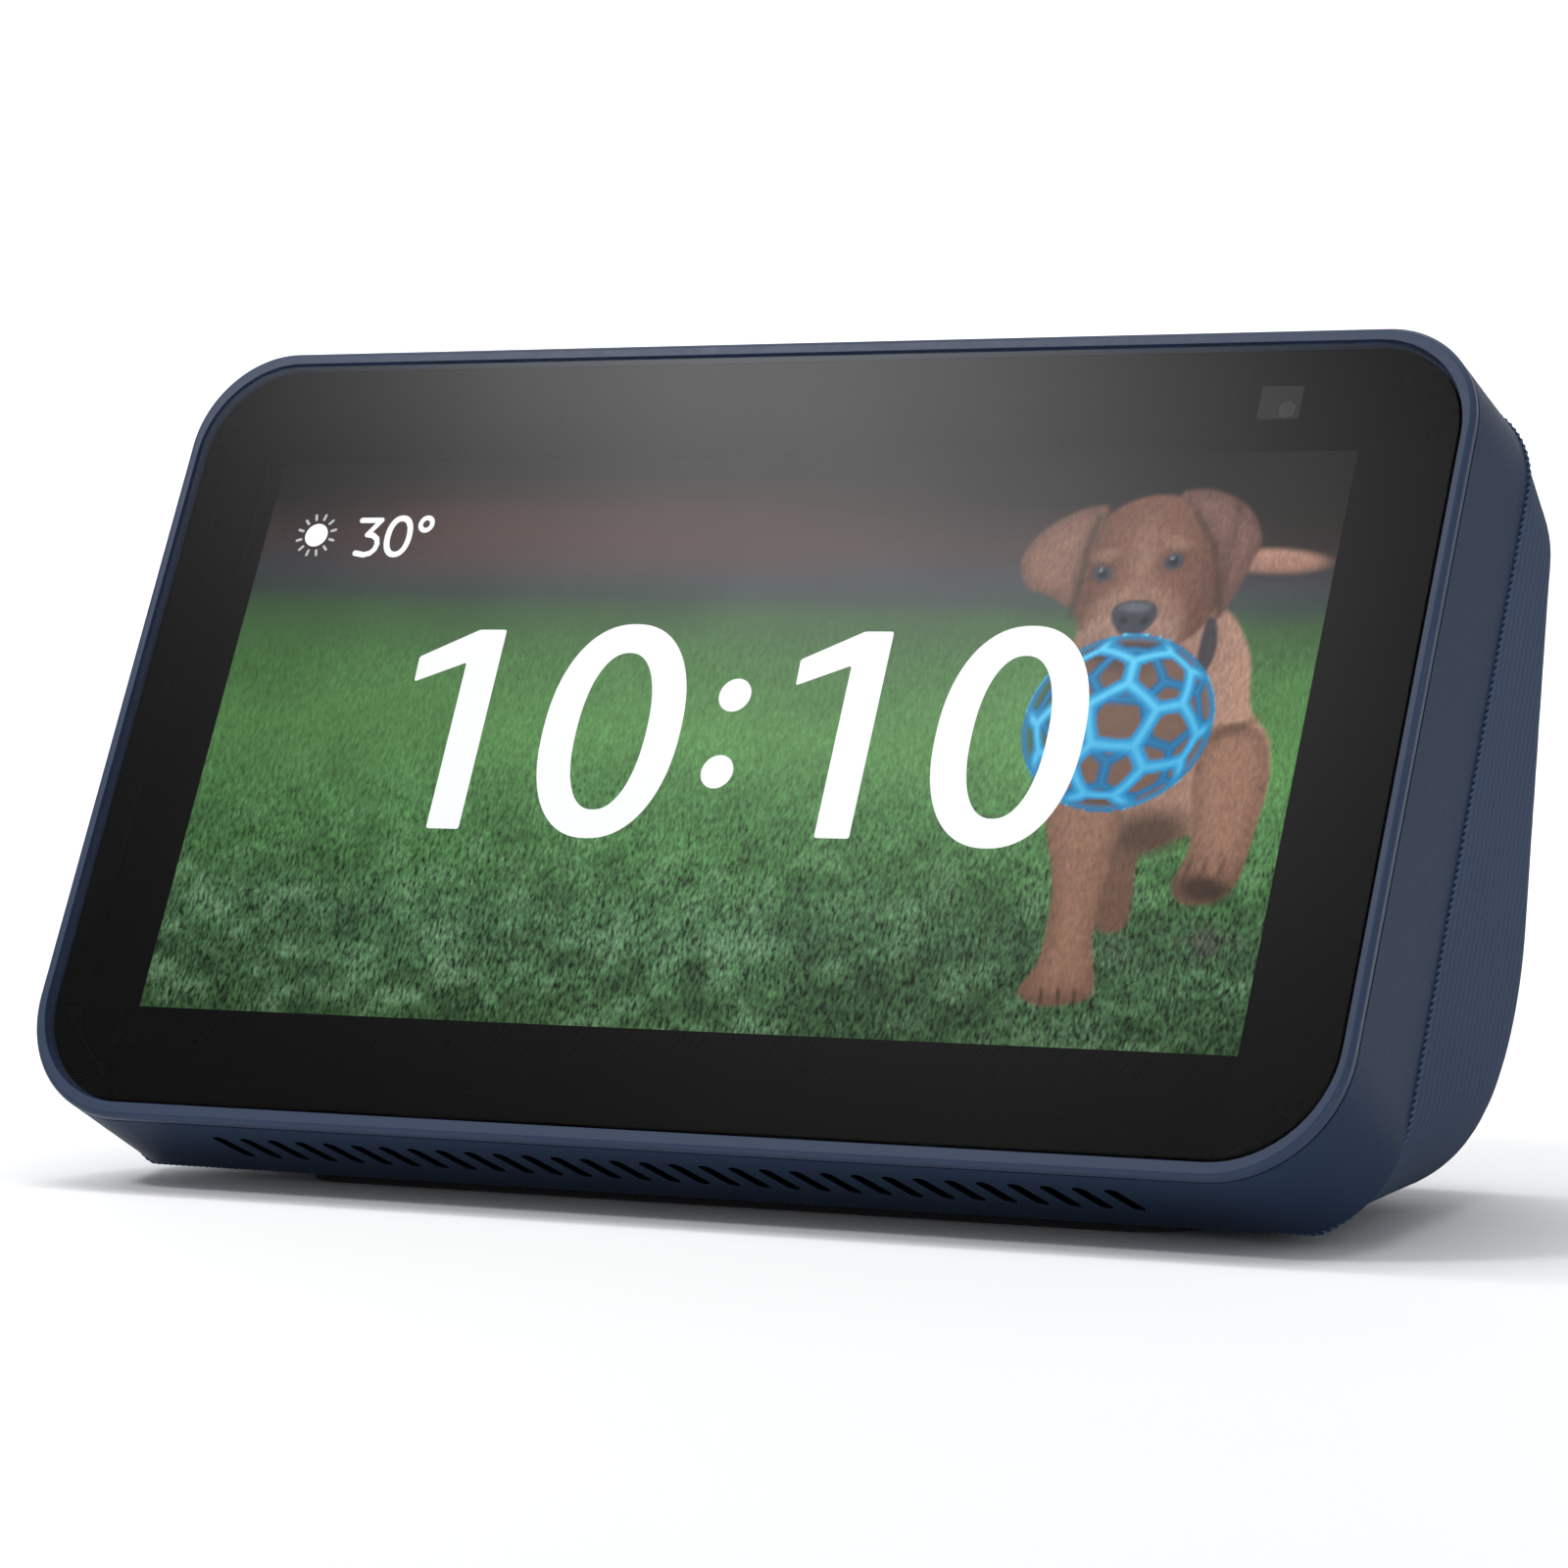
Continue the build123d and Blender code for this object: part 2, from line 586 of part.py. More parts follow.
with BuildPart() as stand_magnets:
    extrude(discs(level(floor_z), MAGNET_RADIUS, MAGNET_PLACES), amount=2.5)

# ---------------------------------------------------------------- inner frame and main board
with BuildPart() as mid_frame:
    extrude(
        rectangle(behind(FRAME_DEPTH[0]), FRAME_SIZE, [(0, FRAME_CENTRE)]),
        amount=FRAME_DEPTH[0] - FRAME_DEPTH[1],
    )
    extrude(discs(behind(FRAME_DEPTH[1]), 2.2, BOARD_SCREWS), amount=FRAME_DEPTH[1] - BOARD_DEPTH[0])
    extrude(
        discs(behind(FRAME_DEPTH[0]), pilot, BOARD_SCREWS),
        amount=FRAME_DEPTH[0] - BOARD_DEPTH[0], mode=Mode.SUBTRACT,
    )
    extrude(
        discs(behind(FRAME_DEPTH[0]), pilot + 0.1, FRAME_SCREWS),
        amount=FRAME_DEPTH[0] - BOARD_DEPTH[0], mode=Mode.SUBTRACT,
    )
    extrude(
        rectangle(behind(FRAME_DEPTH[0]), (28, 34), [(u, FRAME_CENTRE) for u in (-34, 0, 34)]),
        amount=FRAME_DEPTH[0] - BOARD_DEPTH[0], mode=Mode.SUBTRACT,
    )

with BuildPart() as main_board:
    extrude(
        rectangle(behind(BOARD_DEPTH[0]), BOARD_SIZE, [(0, BOARD_CENTRE)]),
        amount=BOARD_DEPTH[0] - BOARD_DEPTH[1],
    )
    extrude(
        discs(behind(BOARD_DEPTH[0]), pilot + 0.1, BOARD_SCREWS),
        amount=BOARD_DEPTH[0] - BOARD_DEPTH[1], mode=Mode.SUBTRACT,
    )

with BuildPart() as m2_screws:
    rearward = {"x_dir": (1, 0, 0), "z_dir": INTO_FACE}
    seats = [Plane(origin=in_face(u, v, FRAME_DEPTH[1]), **rearward) for u, v in FRAME_SCREWS]
    seats += [Plane(origin=in_face(u, v, BOARD_DEPTH[1]), **rearward) for u, v in BOARD_SCREWS]
    seats += [
        Plane(origin=in_face(u, BUTTON_BOARD_V[0], BUTTON_DEPTH), x_dir=(1, 0, 0), z_dir=-UP_FACE)
        for u in (-BOARD_BOSS_U, BOARD_BOSS_U)
    ]
    seats += [
        Plane(origin=port_shelf.from_local_coords((x, y, BOARD_Y[1])), x_dir=(1, 0, 0), z_dir=port_shelf.z_dir)
        for x, y in BOARD_HOLES
    ]
    add(screw_group(seats, M2_HEAD, M2_SHANK))

with BuildPart() as processor_chips:
    for spot, size, height in CHIPS:
        extrude(rectangle(behind(BOARD_DEPTH[1]), size, [spot]), amount=-height)

with BuildPart() as shield_can:
    extrude(
        rectangle(behind(BOARD_DEPTH[1]), CAN_SIZE, [CAN_CENTRE]),
        amount=BOARD_DEPTH[1] - CAN_DEPTH,
    )
    extrude(
        rectangle(behind(BOARD_DEPTH[1]), (CAN_SIZE[0] - 0.5, CAN_SIZE[1] - 0.5), [CAN_CENTRE]),
        amount=BOARD_DEPTH[1] - CAN_DEPTH + CAN_SHEET, mode=Mode.SUBTRACT,
    )

with BuildPart() as thermal_pad:
    spot, size, height = CHIPS[0]
    extrude(
        rectangle(behind(BOARD_DEPTH[1] + height), size, [spot]),
        amount=BOARD_DEPTH[1] + height - CAN_DEPTH + CAN_SHEET,
    )

with BuildPart() as heat_spreader:
    extrude(rectangle(behind(CAN_DEPTH), SPREADER_SIZE, [(-12, CAN_CENTRE[1])]), amount=-1)

with BuildPart() as board_connectors:
    extrude(rectangle(behind(BOARD_DEPTH[1]), (26, 3), [(0, 17.5)]), amount=-CONNECTOR_HEIGHT)
    extrude(
        rectangle(behind(BOARD_DEPTH[1]), (6, 3.4), [(FLEX_U["button"], 64.3), (FLEX_U["camera"], 64.3)]),
        amount=-CONNECTOR_HEIGHT,
    )
    extrude(
        rectangle(behind(BOARD_DEPTH[1]), (5, 6), [(CABLE_X, CABLE_V), (WIRE_U, WIRE_V)]),
        amount=-CONNECTOR_HEIGHT,
    )
    extrude(rectangle(port_shelf.offset(BOARD_Y[1]), (4.5, 3), [(-10.2, CABLE_DEPTH)]), amount=2.4)

with BuildPart() as flex_cables:
    display_run = [(5.3, 14.0), (5.3, 5.4), (12.0, 5.4), (12.0, 16.0)]
    camera_run = [(7.2, 82.0), (7.2, 75.2), (11.6, 71.4), (11.6, 66.0)]
    button_run = [(12.2, 79.6), (12.2, 76.0), (11.6, 73.0), (11.6, 66.0)]
    for run, centre, width in [
        (display_run, 0, 24), (camera_run, FLEX_U["camera"], 5), (button_run, FLEX_U["button"], 6)
    ]:
        extrude(side_view.offset(centre).location * ribbon(run, 1.2, 0.2), amount=width / 2, both=True)

with BuildPart() as wifi_antennas:
    extrude(rectangle(side_view.offset(71.0), (5, 26), [(10, 44)]), amount=0.3)
    extrude(rectangle(side_view.offset(-71.3), (5, 26), [(10, 44)]), amount=0.3)

# ---------------------------------------------------------------- camera and shutter
with BuildPart() as camera_module:
    camera_spot = [(CAMERA_U, CAMERA_V)]
    extrude(rectangle(behind(TRAY_DEPTH[1] + 0.1), (7.4, 7.4), camera_spot), amount=-2)
    extrude(discs(behind(BARREL_FRONT), 2.0, camera_spot), amount=BARREL_FRONT - TRAY_DEPTH[1] - 0.1)
    extrude(discs(behind(BARREL_FRONT), 1.0, camera_spot), amount=-0.9, mode=Mode.SUBTRACT)

with BuildPart() as camera_lens:
    extrude(discs(behind(BARREL_FRONT + 0.2), 0.95, camera_spot), amount=-0.7)
    chamfer(camera_lens.faces().sort_by(out_of_face)[-1].edges(), 0.2)

with BuildPart() as camera_bracket:
    extrude(rectangle(behind(LEDGE_BACK), (21, 5.3), [(52.5, 79.55)]), amount=-1.2)
    extrude(discs(behind(LEDGE_BACK), 2.15, camera_spot), amount=-1.2, mode=Mode.SUBTRACT)

with BuildPart() as light_sensor:
    extrude(
        rectangle(behind(POCKET_FLOOR), (2.4, 1.8), [SENSOR_SPOT]),
        amount=POCKET_FLOOR - LEDGE_BACK,
    )

with BuildPart() as shutter_slider:
    knob_spot = [(SHUTTER_OPEN, BUTTON_DEPTH)]
    extrude(pill(above(KNOB_V[0]), KNOB_SIZE, knob_spot), amount=KNOB_V[1] - KNOB_V[0])
    extrude(
        rectangle(above(KNOB_V[1]), (0.4, 3.0), [(SHUTTER_OPEN + x, BUTTON_DEPTH) for x in (-1.2, 0, 1.2)]),
        amount=-0.3, mode=Mode.SUBTRACT,
    )
    extrude(
        rectangle(above(SLIDER_PLATE_V[1]), (STEM, STEM), knob_spot),
        amount=KNOB_V[0] - SLIDER_PLATE_V[1],
    )
    plate_depth = BUTTON_DEPTH + 2.5 - BLADE_DEPTH[1]
    plate_spot = [(SHUTTER_OPEN, BLADE_DEPTH[1] + plate_depth / 2)]
    extrude(
        rectangle(above(SLIDER_PLATE_V[0]), (SLIDER_PLATE_WIDTH, plate_depth), plate_spot),
        amount=SLIDER_PLATE_V[1] - SLIDER_PLATE_V[0],
    )

with BuildPart() as shutter_blade:
    extrude(
        rectangle(behind(BLADE_DEPTH[0]), BLADE_SIZE, [(SHUTTER_OPEN, BLADE_V)]),
        amount=BLADE_DEPTH[0] - BLADE_DEPTH[1],
    )
    extrude(
        rectangle(behind(BLADE_DEPTH[0]), (3, 4.4), [(SHUTTER_OPEN, SLIDER_PLATE_V[1] - 2.2)]),
        amount=BLADE_DEPTH[0] - BLADE_DEPTH[1],
    )

# ---------------------------------------------------------------- buttons and microphones
buttons = {}
plungers = {}
for name, u in BUTTON_PLACES.items():
    spot = [(u, BUTTON_DEPTH)]
    with BuildPart() as button:
        extrude(pill(above(FLANGE_V[0]), FLANGE_SIZE, spot), amount=FLANGE_V[1] - FLANGE_V[0])
        extrude(pill(above(FLANGE_V[1]), BUTTON_SIZE, spot), amount=BUTTON_TOP - FLANGE_V[1])
        fillet(button.faces().sort_by(Axis(FACE_ORIGIN, UP_FACE))[-1].edges(), 0.4)
        extrude(discs(above(PLUNGER_V[1]), PUSHER_RADIUS, spot), amount=FLANGE_V[0] - PLUNGER_V[1])
    with BuildPart() as plunger:
        extrude(discs(above(PLUNGER_V[0]), PLUNGER_RADIUS, spot), amount=PLUNGER_V[1] - PLUNGER_V[0])
    buttons[f"{name}_button"] = button
    plungers[f"{name}_plunger"] = plunger

with BuildPart() as tact_switches:
    extrude(
        rectangle(above(BUTTON_BOARD_V[1]), SWITCH_SIZE, button_spots),
        amount=SWITCH_TOP - BUTTON_BOARD_V[1],
    )
    extrude(
        discs(above(SWITCH_TOP - 1), PLUNGER_RADIUS + 0.1, button_spots),
        amount=1, mode=Mode.SUBTRACT,
    )

with BuildPart() as button_board:
    extrude(
        rectangle(above(BUTTON_BOARD_V[0]), (71, 8), [(0, BUTTON_DEPTH)]),
        amount=BUTTON_BOARD_V[1] - BUTTON_BOARD_V[0],
    )
    extrude(
        discs(above(BUTTON_BOARD_V[0]), pilot + 0.1, BOARD_BOSSES),
        amount=BUTTON_BOARD_V[1] - BUTTON_BOARD_V[0], mode=Mode.SUBTRACT,
    )

with BuildPart() as microphones:
    mic_spots = [(-MIC_U, BUTTON_DEPTH), (MIC_U, BUTTON_DEPTH)]
    extrude(rectangle(above(BUTTON_BOARD_V[1]), (3.5, 2.6), mic_spots), amount=1)

with BuildPart() as mic_gaskets:
    extrude(
        discs(above(BUTTON_BOARD_V[1] + 1), 1.8, mic_spots),
        amount=FLANGE_V[1] - BUTTON_BOARD_V[1] - 1,
    )
    extrude(
        discs(above(BUTTON_BOARD_V[1] + 1), 0.8, mic_spots),
        amount=FLANGE_V[1] - BUTTON_BOARD_V[1] - 1, mode=Mode.SUBTRACT,
    )

# ---------------------------------------------------------------- loudspeaker
with BuildPart() as speaker_mesh:
    extrude(rectangle(above(FRONT_WALL + 0.1), (108, 7.4), [(0, SLOT_DEPTH_CENTRE)]), amount=0.3)

with BuildPart() as speaker_box:
    box_front = [in_face(0, v, BOX_DEPTH) for v in (BOX_FRONT_V, BOX_TOP_V)]
    with BuildSketch(Plane.YZ):
        with BuildLine():
            Polyline(
                (box_front[0].Y, BOX_FLOOR_Z),
                (BOX_BACK_LOW_Y, BOX_FLOOR_Z),
                (BOX_BACK_LOW_Y, BOX_FLOOR_Z + 2.7),
                (BOX_BACK_Y, BOX_FLOOR_Z + 8.7),
                (BOX_BACK_Y, BOX_TOP_Z),
                (box_front[1].Y, BOX_TOP_Z),
                close=True,
            )
        make_face()
    extrude(amount=BOX_HALF_WIDTH, both=True)
    offset(amount=-BOX_WALL, openings=speaker_box.faces().sort_by(Axis.Z)[-1])
    extrude(
        rectangle(level(BOX_FLOOR_Z), (8, 8), [(x - math.copysign(1, x), y) for x, y in BOX_EARS]),
        amount=BOX_WALL,
    )
    extrude(
        discs(level(BOX_FLOOR_Z), M25_SHANK[0] + 0.1, BOX_EARS),
        amount=BOX_WALL, mode=Mode.SUBTRACT,
    )
    extrude(discs(level(BOX_FLOOR_Z), BOX_HOLE, [(0, SPEAKER_Y)]), amount=BOX_WALL, mode=Mode.SUBTRACT)
    extrude(discs(behind(BOX_DEPTH - 1), 1.0, [(WIRE_U, WIRE_V)]), amount=-4, mode=Mode.SUBTRACT)

with BuildPart() as speaker_box_lid:
    lid_length = BOX_BACK_Y - box_front[1].Y
    lid_middle = (0, BOX_BACK_Y - lid_length / 2 + 0.4)
    extrude(
        rectangle(level(BOX_TOP_Z), (2 * BOX_HALF_WIDTH, lid_length), [(0, BOX_BACK_Y - lid_length / 2)]),
        amount=BOX_WALL,
    )
    extrude(
        rounded_slab(level(BOX_TOP_Z), (2 * BOX_HALF_WIDTH - 3.6, lid_length - 4.4), lid_middle, 1.0),
        amount=-1.2,
    )

with BuildPart() as box_screws:
    seats = [Plane(origin=(x, y, BOX_FLOOR_Z + BOX_WALL)) for x, y in BOX_EARS]
    add(screw_group(seats, M25_HEAD, M25_SHANK))

with BuildPart() as speaker_gasket:
    with BuildSketch(level(FLANGE_Z[1])):
        with Locations((0, SPEAKER_Y)):
            Circle(FLANGE_RADIUS)
            Circle(BOX_HOLE, mode=Mode.SUBTRACT)
    extrude(amount=BOX_FLOOR_Z - FLANGE_Z[1])

with BuildPart() as speaker_frame:
    add(
        ring_section(
            [(18.2, 8.8), (20.5, 8.8), (20.5, 10.3), (19.0, 10.3), (15.2, 17.2), (15.2, 18.0)]
            + [(8.0, 18.0), (8.0, 17.2), (14.5, 17.2), (18.2, 10.3)]
        )
    )
    revolve(axis=speaker_axis)
    with Locations((0, SPEAKER_Y, 13.8)):
        with PolarLocations(16.8, 4, 45):
            Box(7, 12, 3.6, mode=Mode.SUBTRACT)

with BuildPart() as magnet_steel:
    add(ring_section([(7.15, 18.0), (12.5, 18.0), (12.5, 19.0), (7.15, 19.0)]))
    add(ring_section([(0, 18.2), (5.9, 18.2), (5.9, 24.0), (12.0, 24.0), (12.0, 25.2), (0, 25.2)]))
    revolve(axis=speaker_axis)

with BuildPart() as speaker_magnet:
    add(ring_section([(8.5, 19.0), (12.5, 19.0), (12.5, 24.0), (8.5, 24.0)]))
    revolve(axis=speaker_axis)

with BuildPart() as speaker_cone:
    add(ring_section([(6.5, 13.4), (15.0, 8.5), (15.6, 8.5), (15.6, 8.9), (15.2, 8.9), (6.5, 13.9)]))
    revolve(axis=speaker_axis)

with BuildPart() as voice_coil:
    former = [(6.2, 21.0), (6.2, 13.0), (6.5, 13.0)]
    winding = [(6.5, 17.6), (6.8, 17.6), (6.8, 20.4), (6.5, 20.4), (6.5, 21.0)]
    add(ring_section(former + winding))
    revolve(axis=speaker_axis)

with BuildPart() as dust_cap:
    cap_outside = [(0, 11.3), (2.5, 11.3), (4.8, 12.0), (6.15, 13.1)]
    cap_inside = [(6.15, 13.5), (4.6, 12.4), (2.4, 11.7), (0, 11.7)]
    add(ring_section(cap_outside + cap_inside))
    revolve(axis=speaker_axis)

with BuildPart() as speaker_surround:
    with BuildSketch(speaker_plane):
        with Locations((17.0, FLANGE_Z[0])):
            Circle(1.1)
            Circle(0.7, mode=Mode.SUBTRACT)
            Rectangle(4, 2, align=(Align.CENTER, Align.MIN), mode=Mode.SUBTRACT)
        with Locations((17.9, FLANGE_Z[0])):
            Rectangle(2.3, 0.4, align=(Align.MIN, Align.MAX))
    revolve(axis=speaker_axis)

with BuildPart() as speaker_spider:
    with BuildSketch(speaker_plane):
        with Locations((10.7, 17.0)):
            Rectangle(7.4, 0.4)
        with Locations((8.6, 16.8), (10.6, 16.8), (12.6, 16.8)):
            Circle(0.25)
    revolve(axis=speaker_axis)

with BuildPart() as speaker_wires:
    wire_end = in_face(WIRE_U, WIRE_V, BOARD_DEPTH[1] + CONNECTOR_HEIGHT)
    wire_bend = in_face(WIRE_U, WIRE_V, BOARD_DEPTH[1] + CONNECTOR_HEIGHT + 14)
    with BuildLine() as wire_run:
        FilletPolyline(wire_end, wire_bend, (15.6, SPEAKER_Y, 18.8), radius=5)
    with BuildSketch(Plane(origin=wire_end, z_dir=INTO_FACE)):
        Circle(0.6)
    sweep(path=wire_run.wire())

# ---------------------------------------------------------------- sockets at the back
with BuildPart() as port_plate:
    extrude(pill(back.offset(-0.5), PORT_SIZE, [(0, 0)]), amount=0.5 - FABRIC - WALL)
    extrude(pill(back.offset(-FABRIC - WALL), PORT_SIZE, [(0, 0)], 1.5), amount=-1)
    extrude(discs(back, 3.35, [(JACK_X, 0)]), amount=-5, mode=Mode.SUBTRACT)
    extrude(rounded_slab(back, (8.1, 3.2), (USB_X, 0), 0.9), amount=-5, mode=Mode.SUBTRACT)

with BuildPart() as dc_jack:
    extrude(rectangle(back.offset(-4), (8, 8.4), [(JACK_X, 0)]), amount=-8.5)
    extrude(discs(back.offset(-0.7), 3.2, [(JACK_X, 0)]), amount=-3.3)
    extrude(
        discs(back.offset(-0.7), JACK_BORE, [(JACK_X, 0)]),
        amount=0.7 - JACK_FLOOR, mode=Mode.SUBTRACT,
    )

with BuildPart() as dc_jack_pin:
    extrude(discs(back.offset(-JACK_FLOOR), JACK_PIN, [(JACK_X, 0)]), amount=JACK_PIN_LENGTH)

with BuildPart() as micro_usb_port:
    extrude(rounded_slab(back.offset(-0.9), (7.6, 2.7), (USB_X, -0.05), 0.7), amount=-6.6)
    extrude(
        rounded_slab(back.offset(-0.9), (6.9, 2.0), (USB_X, -0.05), 0.5),
        amount=-5, mode=Mode.SUBTRACT,
    )
    extrude(rectangle(back.offset(-2), (3.7, 0.6), [(USB_X, 0.2)]), amount=-4.5)

with BuildPart() as io_board:
    extrude(
        rectangle(port_shelf.offset(BOARD_Y[0]), (34.6, 10.1), [(0, 8.95)]),
        amount=BOARD_Y[1] - BOARD_Y[0],
    )
    extrude(
        rectangle(port_shelf.offset(BOARD_Y[0]), (8.4, 9.2), [(JACK_X, 8.2)]),
        amount=BOARD_Y[1] - BOARD_Y[0], mode=Mode.SUBTRACT,
    )
    extrude(
        discs(port_shelf.offset(BOARD_Y[0]), pilot + 0.1, BOARD_HOLES),
        amount=BOARD_Y[1] - BOARD_Y[0], mode=Mode.SUBTRACT,
    )

with BuildPart() as io_cable:
    cable_start = port_shelf.from_local_coords((-12.5, CABLE_DEPTH, -0.2))
    cable_v = (cable_start.Z - CHIN_RISE + CABLE_END * math.sin(slope)) / math.cos(slope)
    cable_end = in_face(CABLE_X, cable_v, CABLE_END)
    cable_corner = Vector(CABLE_X, cable_start.Y, cable_start.Z)
    with BuildLine() as cable_run:
        FilletPolyline(cable_start, cable_corner, cable_end, radius=8)
    with BuildSketch(Plane(origin=cable_start, z_dir=(1, 0, 0))):
        Circle(1.1)
    sweep(path=cable_run.wire())

# ---------------------------------------------------------------- files
pieces = {
    "cover_glass": cover_glass,
    "bezel_mask": bezel_mask,
    "glass_tape": glass_tape,
    "lcd_panel": lcd_panel,
    "backlight_unit": backlight_unit,
    "lcd_tray": lcd_tray,
    "front_bezel": front_bezel,
    "front_housing": front_housing,
    "rear_housing": rear_housing,
    "fabric_cover": fabric_cover,
    "base_plate": base_plate,
    "foot_pad": foot_pad,
    "base_screws": base_screws,
    "stand_magnets": stand_magnets,
    "mid_frame": mid_frame,
    "main_board": main_board,
    "m2_screws": m2_screws,
    "processor_chips": processor_chips,
    "shield_can": shield_can,
    "thermal_pad": thermal_pad,
    "heat_spreader": heat_spreader,
    "board_connectors": board_connectors,
    "flex_cables": flex_cables,
    "wifi_antennas": wifi_antennas,
    "camera_module": camera_module,
    "camera_lens": camera_lens,
    "camera_bracket": camera_bracket,
    "light_sensor": light_sensor,
    "shutter_slider": shutter_slider,
    "shutter_blade": shutter_blade,
    **buttons,
    **plungers,
    "tact_switches": tact_switches,
    "button_board": button_board,
    "microphones": microphones,
    "mic_gaskets": mic_gaskets,
    "speaker_mesh": speaker_mesh,
    "speaker_box": speaker_box,
    "speaker_box_lid": speaker_box_lid,
    "box_screws": box_screws,
    "speaker_gasket": speaker_gasket,
    "speaker_frame": speaker_frame,
    "magnet_steel": magnet_steel,
    "speaker_magnet": speaker_magnet,
    "speaker_cone": speaker_cone,
    "voice_coil": voice_coil,
    "dust_cap": dust_cap,
    "speaker_surround": speaker_surround,
    "speaker_spider": speaker_spider,
    "speaker_wires": speaker_wires,
    "port_plate": port_plate,
    "dc_jack": dc_jack,
    "dc_jack_pin": dc_jack_pin,
    "micro_usb_port": micro_usb_port,
    "io_board": io_board,
    "io_cable": io_cable,
}

os.makedirs("parts", exist_ok=True)
for name, piece in pieces.items():
    piece.part.label = name
    export_step(piece.part, f"parts/{name}.step")
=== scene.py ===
import json
import math

import bmesh
import bpy
import numpy as np
from mathutils import Matrix, Vector


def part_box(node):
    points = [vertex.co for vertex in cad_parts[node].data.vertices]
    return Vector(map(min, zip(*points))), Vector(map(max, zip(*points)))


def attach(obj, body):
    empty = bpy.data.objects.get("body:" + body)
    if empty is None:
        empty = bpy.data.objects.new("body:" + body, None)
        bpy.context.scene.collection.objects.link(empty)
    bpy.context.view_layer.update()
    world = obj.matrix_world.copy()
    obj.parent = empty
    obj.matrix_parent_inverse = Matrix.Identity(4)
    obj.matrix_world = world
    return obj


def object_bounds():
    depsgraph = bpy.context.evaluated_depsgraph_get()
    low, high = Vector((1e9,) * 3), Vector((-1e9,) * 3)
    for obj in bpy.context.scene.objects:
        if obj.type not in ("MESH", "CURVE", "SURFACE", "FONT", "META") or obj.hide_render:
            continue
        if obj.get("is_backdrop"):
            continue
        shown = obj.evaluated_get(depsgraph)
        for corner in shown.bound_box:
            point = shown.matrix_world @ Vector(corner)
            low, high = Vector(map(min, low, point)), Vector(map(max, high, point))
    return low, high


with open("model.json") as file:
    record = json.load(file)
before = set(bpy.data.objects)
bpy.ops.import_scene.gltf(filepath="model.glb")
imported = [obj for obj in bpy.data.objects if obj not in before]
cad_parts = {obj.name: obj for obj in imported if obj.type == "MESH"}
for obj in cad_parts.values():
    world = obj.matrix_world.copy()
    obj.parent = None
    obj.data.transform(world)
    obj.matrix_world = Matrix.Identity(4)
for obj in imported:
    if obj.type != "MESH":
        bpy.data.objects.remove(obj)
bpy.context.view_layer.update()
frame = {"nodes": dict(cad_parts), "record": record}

MM = 0.001
TILT = math.radians(25.4)
UP_FACE = Vector((0, math.sin(TILT), math.cos(TILT)))
INTO_FACE = Vector((0, math.cos(TILT), -math.sin(TILT)))
# The display panel is a plain slab, so its box gives the face frame's place: v = 42 mm, depth 2.05 mm.
panel_low, panel_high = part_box("lcd_panel")
PANEL = (panel_low + panel_high) / 2
PANEL_V, PANEL_DEPTH = 42.0, 2.05
# The picture: height of its middle up the face, half its size, its depth, how far aside its content
# sits, and the depth of the lit plates in front of it.
PICTURE_V = 43.5
HALF_W, HALF_H = 62.0, 31.0
PICTURE_DEPTH = 1.25
CONTENT_SHIFT = -0.8
LIT_DEPTH = 1.22
# Glass over it: how strongly it mirrors and how softly.
GLASS_IOR, GLASS_ROUGHNESS = 1.16, 0.215
# Knit of the fabric, and the ribbed cord on its front edge: spacing, lean, thin and thick radius,
# corners round the cord, how far back it sits, and the band of the sleeve that it follows.
KNIT_PITCH = 0.78
RIB_PITCH, RIB_LEAN = 0.75, 0.35
RIB_RADII = (0.18, 0.34)
RIB_SIDES = 8
RIB_SETBACK, EDGE_BAND = 0.1, 0.2
# Inner face of the chin's wall, and how far out its sound slots reach.
CHIN_WALL, SLOT_REACH = 2.3, 54.0
# Colour of the shade painted on the walls of the sound slots.
SLOT_SHADE = (0.0006, 0.0006, 0.0008)
# Edges sharper than this stay crisp on the round CAD pieces.
CRISP_DEGREES = 24
# The camera, from the photograph's perspective: place in metres, angles, and focal length in pixels.
EYE = Vector((0.28334, -0.50278, 0.06166))
AZIMUTH, ELEVATION = math.radians(29.67), math.radians(2.03)
FOCAL_PX, IMAGE_PX, SENSOR_MM = 5798, 1600, 36


def on_face(u, v, depth):
    """Point at u across and v up the face, at a depth behind the rim, all in millimetres."""
    up, inward = UP_FACE * (v - PANEL_V), INTO_FACE * (depth - PANEL_DEPTH)
    return PANEL + Vector((u, 0, 0)) * MM + up * MM + inward * MM


def on_picture(u, w, depth):
    """Point of the picture, measured from its middle."""
    return on_face(u, w + PICTURE_V, depth)


# ---------------------------------------------------------------- node materials
def linear(code):
    """Linear colour of a hexadecimal sRGB code."""
    parts = [int(code[i:i + 2], 16) / 255 for i in (0, 2, 4)]
    return [c / 12.92 if c <= 0.04045 else ((c + 0.055) / 1.055) ** 2.4 for c in parts]


